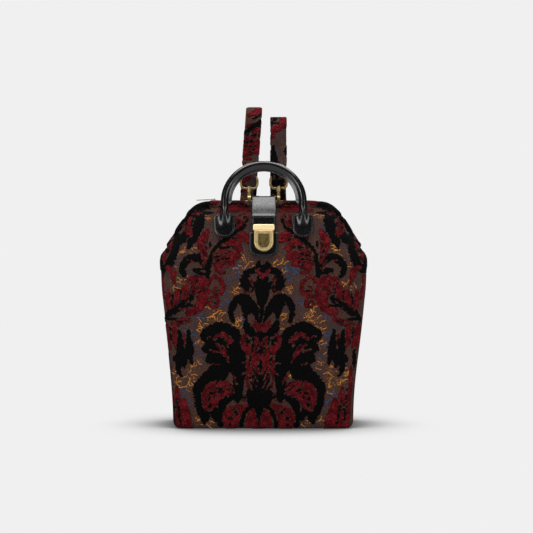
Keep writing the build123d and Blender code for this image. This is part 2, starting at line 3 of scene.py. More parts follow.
import bpy
import numpy as np
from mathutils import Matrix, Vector


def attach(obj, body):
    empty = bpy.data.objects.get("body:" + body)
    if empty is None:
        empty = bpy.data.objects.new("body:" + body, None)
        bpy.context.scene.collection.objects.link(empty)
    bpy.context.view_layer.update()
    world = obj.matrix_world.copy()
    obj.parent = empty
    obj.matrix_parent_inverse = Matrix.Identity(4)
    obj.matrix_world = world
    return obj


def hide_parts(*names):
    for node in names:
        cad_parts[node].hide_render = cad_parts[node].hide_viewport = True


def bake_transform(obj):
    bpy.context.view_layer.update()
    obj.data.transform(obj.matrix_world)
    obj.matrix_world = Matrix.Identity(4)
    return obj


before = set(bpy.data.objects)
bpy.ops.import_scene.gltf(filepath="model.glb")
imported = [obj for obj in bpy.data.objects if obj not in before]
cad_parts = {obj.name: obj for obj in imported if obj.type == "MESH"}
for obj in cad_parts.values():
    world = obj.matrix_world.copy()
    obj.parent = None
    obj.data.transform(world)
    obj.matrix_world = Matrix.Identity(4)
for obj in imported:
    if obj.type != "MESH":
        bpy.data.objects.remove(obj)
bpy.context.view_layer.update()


# Carpet cloth: a heavy woven ground with cut pile in red and black, in a mirrored plant damask.
# The motifs are painted one over another as tapered strokes, so each point of the cloth knows how
# deep it lies in the red or the black pile. Lengths on the cloth are millimetres.
MM = 0.001
CLOTH_STEP = 1.8
MOTIF_REPEAT = 166.0
FAR_OUTSIDE = -9.0
STROKE_PARTS = 9
TEETH_FEWEST = 3.0
TEETH_ALONG, TEETH_ACROSS = 0.22, 0.1
TOOTH_VALLEY = 0.6
PILE_HEIGHT = 1.3
PILE_EDGE = (-0.9, 1.1)
BLACK_PILE_SHARE = 1.1

# Each stroke: colour, its start, middle and end from the pattern's axis and the base, half widths, teeth
MOTIF_STROKES = (
    # great lower leaf: black toothed border, red blade and its eyes
    ("black", (64, 90), (89, 72), (93, 54), (9, 9, 8), 3.6),
    ("black", (93, 56), (91, 37), (83, 18), (8, 8, 6), 3.6),
    ("black", (60, 84), (78, 62), (80, 34), (10, 14, 9), 0),
    ("black", (82, 24), (83, 17), (84, 9), (6, 5.5, 2.5), 0),
    ("black", (71, 30), (68, 22), (66, 15), (6, 6, 3), 0),
    ("red", (29, 58), (50, 63), (68, 62), (3, 11, 14), 1.7),
    ("red", (68, 62), (78, 53), (79, 36), (14, 11.5, 7.5), 1.4),
    ("red", (62, 56), (68, 46), (74, 35), (8, 9, 5), 0),
    ("black", (58, 66), (61.5, 61), (64, 56), (0.8, 2.4, 0.8), 0),
    ("black", (66, 64), (61.5, 61), (56, 58), (0.8, 2, 0.8), 0),
    ("black", (69, 58), (73.5, 56.5), (78, 57), (0.8, 2.2, 0.8), 0),
    ("black", (77, 49), (77.5, 47), (78, 45), (1.6, 2.6, 1.6), 0),
    ("black", (76, 39), (76.4, 36.7), (76.5, 34), (1.8, 3, 1.8), 0),
    ("black", (69, 52), (69, 50), (68, 48), (0.8, 1.6, 0.8), 0),
    ("black", (35, 63), (42, 68), (48, 73), (0.5, 1.1, 0.5), 0),
    ("black", (38, 59), (46, 62), (53, 67), (0.5, 1.1, 0.5), 0),
    ("black", (66, 74), (66, 71), (67, 68), (0.6, 1.4, 0.6), 0),
    # black hollow under the leaf and its red rim
    ("black", (20, 49), (40, 51), (56, 40), (2, 5.4, 6.4), 0),
    ("black", (57, 40), (58.5, 24), (59, 7), (6.4, 5.6, 5), 1),
    ("red", (9, 43), (28, 55.6), (51, 51), (0.9, 1.7, 0.9), 0),
    ("red", (20, 45), (30, 45.5), (39, 43.5), (0.7, 1.6, 0.7), 0),
    # flowers along the foot
    ("red", (13, 38), (30, 32), (46, 26), (2, 7, 8), 1),
    ("red", (45, 27), (48.5, 17), (45, 5), (8, 8.5, 7), 1),
    ("red", (30, 24), (34, 14), (40, 6), (5, 7, 7), 0.8),
    ("black", (32, 33), (36, 28), (40, 24), (0.8, 2.2, 0.8), 0),
    ("black", (41, 32), (36, 28), (33, 23), (0.8, 1.8, 0.8), 0),
    ("black", (40.5, 18), (45, 16.6), (49.5, 18), (0.8, 1.9, 0.8), 0),
    ("black", (44, 8), (45, 7), (46.5, 6), (0.8, 1.9, 0.8), 0),
    ("black", (0, 42), (19.5, 29), (27, 6), (2.4, 3.2, 3.8), 0),
    ("red", (0, 34), (9, 24), (14, 8), (3, 7, 7), 0.8),
    ("red", (0, 30), (0, 18), (0, 5), (4, 11, 11), 0),
    ("black", (0, 39), (0, 28), (0, 14), (1.5, 6.2, 1.4), 0),
    ("black", (0, 16), (0, 11), (0, 7), (1.4, 1.4, 1), 0),
    # plume beside the column
    ("black", (33, 46), (34, 100), (44, 146), (5, 13, 12), 0),
    ("black", (44, 145), (63, 156), (83, 151), (12, 9.5, 7), 3.0),
    ("black", (86, 151), (88, 146), (86, 140), (6.5, 6, 5), 2.2),
    ("black", (66, 140), (78, 129), (86, 125), (12, 9, 4.5), 2.6),
    ("black", (62, 122), (73, 113), (82, 107), (13, 10, 3.5), 2.6),
    ("black", (52, 128), (56, 108), (58, 92), (12, 14, 12), 0),
    ("black", (58, 98), (68, 95), (77, 90), (11, 8, 5), 2.4),
    ("red", (73.5, 139), (60, 146.5), (46.5, 137), (2, 4.8, 3.4), 0.7),
    ("red", (69, 131.5), (59, 123), (48.5, 104), (2.6, 5, 0.9), 0.8),
    ("red", (56, 138), (52, 134), (50, 127), (1.5, 2.4, 0.9), 0),
    ("black", (69, 141), (60.5, 141), (51, 135.5), (0.8, 1.9, 1), 0),
    ("black", (66, 132), (61.5, 128), (58, 123), (0.5, 1.3, 0.5), 0),
    ("red", (85, 143.5), (81.5, 143.6), (78, 143), (0.7, 1.7, 0.7), 0),
    ("red", (78, 123.5), (71.5, 121.4), (65, 119.5), (0.7, 1.8, 0.7), 0),
    ("red", (74, 103), (68, 101.6), (62, 100.4), (0.7, 1.7, 0.7), 0),
    ("red", (43, 88), (40, 80), (35, 70), (0.8, 2.2, 0.9), 0),
    # middle column on its dark bowl
    ("black", (0, 60), (0, 52), (0, 45), (18, 21, 15), 0),
    ("red", (0, 133), (0, 105), (0, 72), (14, 19, 14), 0),
    ("red", (24, 143), (24.5, 135), (19, 121), (5.5, 7.5, 6), 1),
    ("red", (19.5, 106), (20, 88), (18.5, 62), (2, 2.4, 1.2), 0),
    ("red", (18, 103.6), (24, 103.2), (31, 101.6), (2.6, 1.6, 0.6), 0),
    ("red", (18, 91), (23, 88.4), (28, 84), (2.2, 1.5, 0.6), 0),
    ("red", (11, 71), (12.5, 66), (12, 61), (1.4, 1.6, 0.7), 0),
    ("black", (24, 142), (20, 136.8), (16.5, 132), (0.8, 2.4, 0.8), 0),
    ("black", (26, 136), (20, 136.8), (15, 139), (0.8, 2, 0.8), 0),
    ("black", (20, 143), (20, 137), (21, 130), (0.7, 1.7, 0.7), 0),
    ("black", (13, 150), (12, 136), (13, 121), (0.9, 1.8, 0.8), 0),
    ("black", (15, 118), (16, 108), (15, 98), (0.5, 1.2, 0.5), 0),
    ("black", (0, 128), (0, 122.5), (0, 116), (1, 2.6, 1), 0),
    ("black", (6.5, 126.5), (3, 124), (0, 122.5), (0.8, 1.7, 2.2), 0),
    ("black", (6.5, 118.5), (3, 121), (0, 122.5), (0.8, 1.7, 2.2), 0),
    ("black", (5, 132.5), (5, 131), (5, 129.5), (0.8, 1.6, 0.8), 0),
    ("black", (0, 107), (0, 99), (0, 91), (1, 4.2, 1), 0),
    ("black", (1.5, 76), (6, 84.5), (11, 96), (1.8, 1.8, 0.7), 0),
    ("black", (2, 68), (8.5, 77.5), (14, 91), (2.2, 1.9, 0.7), 0),
    ("black", (4, 60), (11.5, 70), (16.5, 83), (2.4, 1.9, 0.7), 0),
    ("black", (0, 91), (0, 78), (0, 63), (0.9, 2.4, 5), 0),
    # bud and crown on the column
    ("black", (14, 151), (21, 157), (24, 166), (6, 7, 3.5), 1),
    ("black", (6, 150), (12, 148), (17, 148), (3.5, 4.4, 4), 0),
    ("black", (0, 151), (0, 144), (0, 137), (4.5, 5.6, 2.4), 0),
    ("red", (0, 159), (8, 159.5), (16.5, 160.5), (4.6, 4, 0.9), 0.8),
    ("red", (5, 162), (10, 166), (14, 170), (3, 2.4, 0.7), 0),
    ("red", (0, 158), (4, 154.5), (8, 151.5), (4.4, 3.4, 0.9), 0),
    # curled scrolls
    ("black", (44, 168), (47.5, 184), (41, 199), (3.6, 5, 5.6), 0),
    ("black", (42, 198), (31, 205), (19, 198), (5.6, 5.6, 6.4), 0),
    ("black", (22, 201), (12, 186), (4, 168), (7, 6.8, 2.5), 0),
    ("black", (28, 197), (24.5, 188), (25, 175), (8, 7.6, 3.6), 0),
    ("black", (0, 212), (0, 190), (0, 168), (10, 5.4, 2.6), 0),
    ("ground", (5, 192), (3.8, 181), (2.6, 170), (0.4, 0.9, 0.5), 0),
    # star crown
    ("black", (0, 234), (0, 219), (0, 206), (9, 11.5, 10), 0),
    ("black", (24, 237), (25.5, 228), (24, 218), (5, 8.5, 5), 2.6),
    ("black", (36, 233), (30, 229), (25, 226), (1, 3.2, 5), 0),
    ("black", (36, 222), (30, 223), (25, 226), (1, 3, 5), 0),
    ("black", (32, 239), (28, 234), (25, 229), (1, 3, 5), 0),
    ("black", (20, 213), (17, 219), (12, 224), (2.6, 4, 5.5), 0.8),
    ("black", (11, 246), (19, 245.5), (28, 243), (4, 4.8, 2.4), 1.2),
    ("black", (6, 260), (8, 253), (8, 246), (2, 4.4, 4.4), 0.8),
    ("black", (0, 252), (0, 246), (0, 238), (4, 5, 7), 0),
    ("red", (10.5, 248), (6, 243), (0, 234.5), (2, 3.6, 2.8), 0),
    ("red", (20, 234), (18.6, 231.6), (17.5, 229), (1.6, 3.2, 1.6), 0.8),
    ("red", (18, 227), (16.6, 224.5), (15, 222), (0.9, 2.4, 0.9), 0),
    ("red", (28, 214), (25.5, 212.5), (23, 210), (0.9, 2.4, 0.9), 0),
    ("red", (19.5, 219.5), (18.4, 217), (17.5, 214), (0.7, 2, 0.7), 0),
    # peony at the side
    ("red", (113, 231), (99, 228), (88, 230), (7, 11, 6), 1.5),
    ("red", (104, 226), (94, 214), (92, 199), (12, 12.5, 8.5), 1),
    ("red", (90, 205), (98, 190), (114, 180), (7, 8, 4.5), 1),
    ("red", (119, 219), (118, 206), (120, 194), (7, 11, 9), 1.2),
    ("red", (133, 215), (132, 202), (136, 187), (3.6, 6.6, 6), 1.2),
    ("red", (148, 216), (147, 203), (146, 186), (2.6, 5, 5), 1),
    ("black", (107, 204), (123, 192.5), (144, 178), (1.8, 6.4, 4), 1.8),
    ("black", (99, 190), (111, 192), (122, 190), (0.6, 1.9, 3), 0),
    ("black", (113, 208), (109, 204), (112, 199), (1.8, 3.4, 2), 0.8),
    ("red", (123.5, 189), (125.5, 187.4), (128, 186), (0.9, 2.2, 0.9), 0),
    ("red", (114, 199), (116, 196.5), (118, 194.5), (0.8, 2, 0.8), 0),
    ("black", (127, 218), (126, 207), (128, 196), (0.5, 1.3, 0.6), 0),
    ("black", (140.5, 216), (140, 203), (142, 190), (0.8, 1.6, 0.8), 0),
    ("black", (113, 232), (112, 220), (114, 208), (0.5, 1.2, 0.5), 0),
    ("black", (101, 234), (104, 223), (107, 212), (0.5, 1.1, 0.5), 0),
    ("black", (85, 222), (94, 215), (102, 208), (0.5, 1, 0.5), 0),
    ("ground", (141, 218), (139.5, 212), (138.5, 207), (1.4, 1.8, 0.5), 0),
    # calyx and leaves that hang from it
    ("black", (154, 171), (140, 170), (123, 171.5), (2.8, 2, 1), 0),
    ("black", (146, 181), (150, 174), (154, 167), (4, 3.6, 2.4), 0),
    ("red", (111, 171), (126, 166.5), (141, 162.5), (2.8, 5.4, 3), 1),
    ("black", (116, 168.5), (126, 166), (138, 164.5), (0.5, 1.1, 0.5), 0),
    ("red", (151, 162), (147.5, 146), (141, 124), (3, 5.8, 1.2), 0.8),
    ("red", (135, 160), (134.5, 143), (131, 122), (3.4, 5.6, 1.2), 0.8),
    ("red", (154, 158), (152, 140), (147.5, 120), (3, 4.4, 1.2), 0),
    ("black", (143.5, 160), (141.5, 145), (137, 130), (0.8, 1.6, 0.6), 0),
    ("black", (129, 160), (129, 148), (129, 136), (0.6, 1.4, 0.6), 0),
    ("black", (127, 152), (125, 124), (126, 101), (3, 6, 6), 0.8),
    ("black", (126, 103), (126.5, 92), (122, 83), (5.6, 4.6, 2), 0),
    ("black", (113, 154), (110, 124), (106, 102), (2.4, 6.4, 2), 0.8),
    ("black", (118, 134), (118, 116), (117, 97), (6.5, 8, 2.4), 0),
    ("black", (128, 112), (132, 110.5), (134.5, 106), (5, 4, 2), 0.8),
    ("red", (121.5, 150), (118.5, 139), (118.5, 125), (0.9, 1.7, 0.6), 0),
    ("black", (145, 125), (146, 108), (145, 92), (1.2, 3.6, 1.2), 0),
    # red curls
    ("red", (84, 226), (76, 236.5), (66, 231.5), (2.8, 3, 3), 0.5),
    ("red", (66, 231.5), (60.5, 223), (63, 213), (3, 3.4, 3.2), 0.5),
    ("red", (63, 213), (69, 209), (76, 214), (3.2, 3, 2.2), 0.5),
    ("red", (76, 214), (76, 219), (70.5, 220.5), (2.2, 2.2, 1.6), 0),
    ("black", (75, 216.5), (71, 215), (67, 216), (0.6, 1.4, 0.6), 0),
    ("red", (81, 203), (74.5, 206), (68, 200), (2, 2.8, 2.6), 0.5),
    ("red", (68, 200), (70, 190.5), (77.5, 190.5), (2.6, 2.8, 2.2), 0.5),
    ("red", (77.5, 190.5), (80, 196), (75.5, 199.5), (2, 2, 1.4), 0),
    ("black", (75.5, 197.5), (73.5, 196), (71.5, 195.5), (0.7, 1.5, 0.7), 0),
    # black scroll under the shoulder
    ("black", (86, 238), (91, 256), (101, 266), (3, 5, 6.2), 0.6),
    ("black", (101, 266), (115, 265), (124.5, 254), (6.2, 6.2, 5.4), 0.8),
    ("black", (125, 256), (126, 247), (122, 239), (5.4, 4.8, 4), 0.6),
    ("black", (87, 242), (97, 245), (106, 247), (3.4, 5.2, 3.8), 0.6),
    ("red", (117, 263), (111.5, 262), (106, 259.5), (0.6, 1.4, 0.6), 0),
    ("red", (99, 262), (94.5, 256), (90, 249), (0.6, 1.4, 0.6), 0),
    ("red", (97, 246.4), (92, 245), (87, 243.4), (0.6, 1.2, 0.6), 0),
    # red sprays and the stem between them
    ("red", (88, 309), (95, 288), (89, 260), (3.5, 8, 3.5), 1.5),
    ("red", (101, 297), (98.5, 284), (92, 268), (2.4, 4.6, 3), 1.3),
    ("red", (73, 282), (57, 269), (42, 269), (7, 10.5, 6), 1.9),
    ("red", (77, 262), (64, 256), (50, 258.5), (6, 7.5, 5), 1.8),
    ("red", (65, 295), (49, 290), (38, 281), (7, 9, 5), 1.8),
    ("red", (47, 301), (36, 300), (27, 295), (7, 9, 6), 1.3),
    ("red", (73, 249), (68, 244.5), (59, 243), (3.4, 3.6, 1.6), 1),
    ("red", (47, 255), (50, 260), (55, 266), (3, 4.6, 5), 1.2),
    ("black", (83.5, 291), (84, 286.5), (84.5, 282), (0.9, 2.2, 0.9), 0),
    ("black", (91, 294), (91, 288), (89.5, 281), (0.5, 1.3, 0.5), 0),
    ("black", (97, 284), (93, 274), (89, 263), (0.5, 1.1, 0.5), 0),
    ("black", (78, 268), (66, 270), (51, 277), (0.6, 1.7, 0.6), 0),
    ("black", (77, 260), (65, 263), (52, 265), (0.6, 1.5, 0.6), 0),
    ("black", (70, 280), (60, 282), (46, 284), (0.6, 1.7, 0.6), 0),
    ("black", (58, 297), (48, 297), (37, 293), (0.6, 1.5, 0.6), 0),
    ("black", (63, 253), (58, 256), (54, 260), (0.5, 1.1, 0.5), 0),
    ("red", (57, 319), (45, 322), (34, 316), (5, 7, 5), 1.3),
    ("red", (68, 313), (61, 318), (54, 324), (3, 5, 4), 1.3),
    ("red", (34, 318), (27, 330), (31, 341), (2.8, 3.2, 2.8), 0.6),
    ("red", (31, 341), (38, 339), (40, 331), (2.8, 2.8, 1.8), 0.6),
    ("red", (46, 326), (54, 334), (66, 338), (3, 6, 4), 1.3),
    ("black", (61, 309), (49, 315), (39, 323), (0.8, 2, 0.8), 0),
    ("black", (33, 336), (32, 332), (33, 328), (0.6, 1.7, 0.6), 0),
    ("black", (85.5, 236), (82.5, 262), (74, 281), (3.2, 4.2, 4.6), 0),
    ("black", (74, 281), (58, 297), (40, 309), (4.6, 3.8, 3), 0),
    ("black", (40, 309), (32, 316), (27, 328), (3, 2.6, 1.6), 0),
    ("red", (81, 258), (75.5, 274), (64, 288), (0.5, 1.2, 0.5), 0),
    # toothed leaf at the upper corner
    ("black", (99, 334), (104, 314), (114, 291), (6, 8.5, 6), 2.6),
    ("black", (112, 297), (115, 289), (117, 281), (6, 5, 2), 0.8),
    ("black", (122, 305), (127, 297), (130, 289), (6, 6, 2.5), 1),
    ("black", (107, 332), (116, 336), (125, 334), (5, 6, 5), 1.3),
    ("red", (120, 331), (121, 318), (115.5, 303), (5.5, 9, 4.5), 1.5),
    ("black", (120, 322.5), (121.5, 321), (123, 319), (1, 2.4, 1), 0),
    ("black", (122, 314.5), (123, 313), (123.5, 311), (1, 2.4, 1), 0),
    ("black", (114, 327), (113.5, 318), (114, 309), (0.5, 1.3, 0.5), 0),
    ("black", (84, 346), (98, 345), (116, 348), (4, 6.5, 6), 1.7),
    ("red", (99, 345), (108, 343), (121, 340), (2, 4, 2), 1.3),
    # shoulder leaf
    ("black", (137, 303), (140, 280), (147, 256), (5, 7.5, 7), 0.8),
    ("black", (146, 259), (153, 250), (158, 245), (7, 6, 3.6), 0),
    ("black", (158, 280), (161, 264), (161, 250), (3, 4, 4), 0),
    ("red", (146, 291), (152, 277), (157, 263), (3.6, 6.4, 3), 0.7),
    ("black", (154, 282), (153.2, 278), (152.6, 274), (0.9, 2.4, 0.9), 0),
    ("black", (148, 285), (150, 274), (153, 265), (0.5, 1.2, 0.5), 0),
    ("red", (151, 252), (144, 247), (137, 241), (3.5, 5, 2.6), 1.5),
    ("red", (143, 247), (140, 238), (137, 225), (5, 4.6, 1.6), 1.3),
    ("red", (158.5, 238), (158, 220), (155.5, 202), (2.2, 3.4, 2.2), 0),
    # leaves at the bottom corner
    ("red", (141, 97), (141.5, 70), (138, 40), (1.8, 3.6, 4), 0),
    ("red", (138, 44), (136.5, 24), (133, 2), (4.4, 5.6, 7), 0),
    ("red", (129, 66), (127, 44), (124, 20), (1.8, 6.4, 9), 1),
    ("red", (117, 48), (114, 28), (109, 2), (2.6, 6, 8), 1.3),
    ("red", (124, 24), (120, 12), (117, 1), (9, 10, 10), 0),
    ("black", (128, 47), (127.5, 42), (127, 37), (0.6, 1.5, 0.6), 0),
    ("black", (131.5, 38), (131, 32), (130, 27), (0.7, 1.9, 0.7), 0),
    ("black", (125, 38), (124.5, 33.5), (124, 29), (0.7, 2, 0.7), 0),
    ("black", (124, 25), (123.3, 21), (122.5, 16), (0.7, 2.1, 0.7), 0),
    ("black", (122.5, 13.5), (121.6, 10.4), (120.5, 7), (0.7, 2.1, 0.7), 0),
    ("black", (134.2, 62), (134.5, 36), (132, 10), (0.5, 1.3, 0.9), 0),
    # leaves over the frame
    ("red", (26, 352), (44, 358), (70, 354), (6, 9, 6), 1.6),
    ("red", (34, 372), (58, 374), (82, 368), (6, 8, 5), 1.6),
    ("black", (24, 362), (46, 366), (72, 361), (1, 2.4, 1), 0),
    ("black", (88, 366), (104, 362), (120, 368), (5, 8, 5), 1.6),
    ("red", (124, 352), (140, 356), (158, 352), (5, 7, 4), 1.4),
    ("black", (128, 366), (144, 370), (162, 362), (4, 6, 4), 1.4),
)
# Clusters of loose floats on the ground: centre and reach
GOLD_CLUSTERS = (
    (92, 152, 7), (93, 133, 7), (95, 102, 10), (107, 90, 9), (134, 88, 7), (131, 74, 8), (120, 75, 8),
    (110, 65, 9), (105, 79, 9), (94, 12, 6), (77, 9, 6), (42, 83, 4), (28, 260, 7), (32, 246, 8),
    (16, 252, 5), (40, 218, 7), (36, 211, 6), (79, 184, 7), (67, 180, 7), (84, 172, 8), (89, 162, 7),
    (72, 169, 6), (43, 166, 7), (34, 158, 6), (128, 228, 7), (139, 220, 5), (131, 251, 6), (131, 274, 6),
    (31, 174, 6), (114, 278, 6), (109, 289, 5), (89, 332, 7),
)
BLUE_CLUSTERS = (
    (115, 54, 8), (113, 42, 8), (105, 39, 7), (104, 146, 8), (99, 132, 6), (96, 113, 7), (46, 246, 9),
    (56, 200, 9), (61, 195, 6), (100, 176, 8), (107, 172, 6), (26, 165, 4), (121, 159, 5), (107, 145, 7),
    (150, 212, 4), (53, 234, 7), (97, 308, 8), (36, 254, 6), (40, 240, 7), (136, 259, 7), (52, 250, 6),
    (95, 318, 8),
)


def stroke_depth(across, up, stroke):
    """How deep points lie inside one tapered, bent stroke."""
    start, middle, end = (np.array(place, dtype=float) for place in stroke[1:4])
    half_widths, teeth = stroke[4:]
    bend = 2 * middle - (start + end) / 2
    t = np.linspace(0, 1, STROKE_PARTS + 1)[:, None]
    line = (1 - t) ** 2 * start + 2 * t * (1 - t) * bend + t**2 * end
    taper = np.interp(t[:, 0], (0, 0.5, 1), half_widths)
    run_length = np.hypot(*(line[-1] - line[0]))
    tooth_count = max(TEETH_FEWEST, TEETH_ALONG * run_length + TEETH_ACROSS * max(half_widths))
    depth = np.full(across.shape, FAR_OUTSIDE)
    for part in range(STROKE_PARTS):
        a, run = line[part], line[part + 1] - line[part]
        share = ((across - a[0]) * run[0] + (up - a[1]) * run[1]) / max(run @ run, 1e-6)
        share = np.clip(share, 0, 1)
        reach = taper[part] + (taper[part + 1] - taper[part]) * share
        if teeth:
            along = (part + share) / STROKE_PARTS
            reach = reach + teeth * (np.abs(np.sin(np.pi * tooth_count * along)) - TOOTH_VALLEY)
        away = np.hypot(across - a[0] - share * run[0], up - a[1] - share * run[1])
        depth = np.maximum(depth, reach - away)
    return depth


def paint_motifs(across, up):
    """Depth in the red pile and in the black pile, and nearness to gold and blue floats."""
    across = np.abs((across + MOTIF_REPEAT) % (2 * MOTIF_REPEAT) - MOTIF_REPEAT)
    red = np.full(across.shape, FAR_OUTSIDE)
    black = red.copy()
    for stroke in MOTIF_STROKES:
        ends = np.array(stroke[1:4])
        margin = max(stroke[4]) + stroke[5] - FAR_OUTSIDE / 3
        low, high = ends.min(0) - margin, ends.max(0) + margin
        near = (across > low[0]) & (across < high[0]) & (up > low[1]) & (up < high[1])
        if not near.any():
            continue
        depth = stroke_depth(across[near], up[near], stroke)
        inside_red = np.minimum(red[near], -depth)
        inside_black = np.minimum(black[near], -depth)
        red[near] = np.maximum(red[near], depth) if stroke[0] == "red" else inside_red
        black[near] = np.maximum(black[near], depth) if stroke[0] == "black" else inside_black
    floats = []
    for clusters in (GOLD_CLUSTERS, BLUE_CLUSTERS):
        nearness = np.zeros(across.shape)
        for middle, height, reach in clusters:
            away = np.hypot(across - middle, up - height) / reach
            nearness = np.maximum(nearness, np.exp(-away * away))
        floats.append(nearness)
    return red, black, floats[0], floats[1]


def ease(low, high, value):
    """A smooth rise from 0 to 1 between two values."""
    share = np.clip((value - low) / (high - low), 0, 1)
    return share * share * (3 - 2 * share)


def grid_mesh(name, points, closed=False):
    """A mesh of quads over rows and columns of points; closed joins each row to a ring and caps both ends."""
    rows, columns = points.shape[:2]
    index = np.arange(rows * columns).reshape(rows, columns)
    right = np.roll(index, -1, axis=1) if closed else index[:, 1:]
    left = index if closed else index[:, :-1]
    faces = np.stack((left[:-1], right[:-1], right[1:], left[1:]), axis=-1).reshape(-1, 4).tolist()
    if closed:
        faces += [index[0, ::-1].tolist(), index[-1].tolist()]
    mesh = bpy.data.meshes.new(name)
    mesh.from_pydata(points.reshape(-1, 3).tolist(), [], faces)
    mesh.shade_smooth()
    return mesh


def show(name, mesh, *materials):
    """A new object at the origin for a mesh that already stands in its place."""
    piece = bpy.data.objects.new(name, mesh)
    bpy.context.scene.collection.objects.link(piece)
    for material in materials:
        mesh.materials.append(material)
    return piece


def settle(piece):
    """Turn a piece's modifiers into its plain mesh."""
    bpy.context.view_layer.update()
    seen = piece.evaluated_get(bpy.context.evaluated_depsgraph_get())
    piece.data = bpy.data.meshes.new_from_object(seen)
    piece.modifiers.clear()
    return piece


def surface_normals(points, closed=False):
    """Outward directions of a grid whose columns run across and rows run up."""
    across = np.gradient(points, axis=1)
    if closed:
        across = np.roll(points, -1, axis=1) - np.roll(points, 1, axis=1)
    up = np.gradient(points, axis=0)
    normal = np.cross(across, up)
    return normal / np.maximum(np.linalg.norm(normal, axis=2, keepdims=True), 1e-12)


def pile_cloth(name, points, across, up, lining=0.0, closed=False, pile=PILE_HEIGHT):
    """Carpet cloth over a grid: raised pile, its painted fields, and a lining side where one is asked for."""
    red, black, gold, blue = paint_motifs(across, up)
    raised = np.maximum(ease(*PILE_EDGE, red), BLACK_PILE_SHARE * ease(*PILE_EDGE, black))
    points = points + surface_normals(points, closed) * (raised * pile * MM)[..., None]
    mesh = grid_mesh(name, points, closed)
    fields = {"pile_red": red, "pile_black": black, "float_gold": gold, "float_blue": blue}
    for field, values in fields.items():
        layer = mesh.attributes.new(field, "FLOAT", "POINT")
        layer.data.foreach_set("value", values.astype(np.float32).ravel())
    weave = mesh.uv_layers.new(name="weave")
    corners = np.zeros(len(mesh.loops), dtype=np.int32)
    mesh.loops.foreach_get("vertex_index", corners)
    place = np.stack((across.ravel(), up.ravel()), axis=1)[corners] * MM
    weave.data.foreach_set("uv", place.astype(np.float32).ravel())
    piece = show(name, mesh, carpet, lining_cloth)
    if lining:
        wall = piece.modifiers.new("wall", "SOLIDIFY")
        wall.thickness = lining * MM
        wall.offset = -1
        wall.material_offset = 1
        settle(piece)
    return piece


def add_node(tree, kind, **values):
    """A shader node with its settings and unlinked inputs filled in by name."""
    made = tree.nodes.new(kind)
    for key, value in values.items():
        if key in made.inputs:
            made.inputs[key].default_value = value
        else:
            setattr(made, key, value)
    return made


def calculate(tree, operation, first, second=0.0):
    """One step of arithmetic on sockets or numbers."""
    step = add_node(tree, "ShaderNodeMath", operation=operation)
    for socket, value in zip(step.inputs, (first, second)):
        if isinstance(value, (int, float)):
            socket.default_value = value
        else:
            tree.links.new(value, socket)
    return step.outputs[0]


def between(tree, value, low, high, to_low=0.0, to_high=1.0):
    """A socket's value, spread from one range to another and held there."""
    spread = add_node(tree, "ShaderNodeMapRange", interpolation_type="SMOOTHSTEP")
    tree.links.new(value, spread.inputs["Value"])
    for key, number in (("From Min", low), ("From Max", high), ("To Min", to_low), ("To Max", to_high)):
        spread.inputs[key].default_value = number
    return spread.outputs[0]


def blend_colours(tree, share, first, second):
    """A colour between two, each a socket or a written colour."""
    mix = add_node(tree, "ShaderNodeMix", data_type="RGBA")
    for socket, value in ((mix.inputs[0], share), (mix.inputs[6], first), (mix.inputs[7], second)):
        if isinstance(value, bpy.types.NodeSocket):
            tree.links.new(value, socket)
        else:
            socket.default_value = value if isinstance(value, float) else (*value, 1.0)
    return mix.outputs[2]


def speckle(tree, place, scale, detail=2.0, stretch=None, turn=0.0):
    """Soft noise on the given coordinates, stretched and turned where asked."""
    noise = add_node(tree, "ShaderNodeTexNoise", Scale=scale, Detail=detail)
    if stretch:
        mapping = add_node(tree, "ShaderNodeMapping")
        mapping.inputs["Scale"].default_value = stretch
        mapping.inputs["Rotation"].default_value = (0, 0, turn)
        tree.links.new(place, mapping.inputs["Vector"])
        place = mapping.outputs[0]
    tree.links.new(place, noise.inputs["Vector"])
    return noise.outputs[0]


def raise_grain(tree, shader, height, depth):
    """Fine relief on a shader from a height socket, in metres."""
    bump = add_node(tree, "ShaderNodeBump", Strength=1.0, Distance=depth)
    tree.links.new(height, bump.inputs["Height"])
    tree.links.new(bump.outputs[0], shader.inputs["Normal"])


def new_finish(name, **sockets):
    """A material with a principled shader; returns material, tree and shader."""
    material = bpy.data.materials.new(name)
    material.use_nodes = True
    tree = material.node_tree
    shader = tree.nodes["Principled BSDF"]
    for key, value in sockets.items():
        shader.inputs[key.replace("_", " ")].default_value = value
    return material, tree, shader


def own_place(tree):
    """Places on the piece itself."""
    return add_node(tree, "ShaderNodeTexCoord").outputs["Object"]


def paint(tree, shader, share, first, second):
    """Colour a shader between two colours."""
    tree.links.new(blend_colours(tree, share, first, second), shader.inputs["Base Color"])


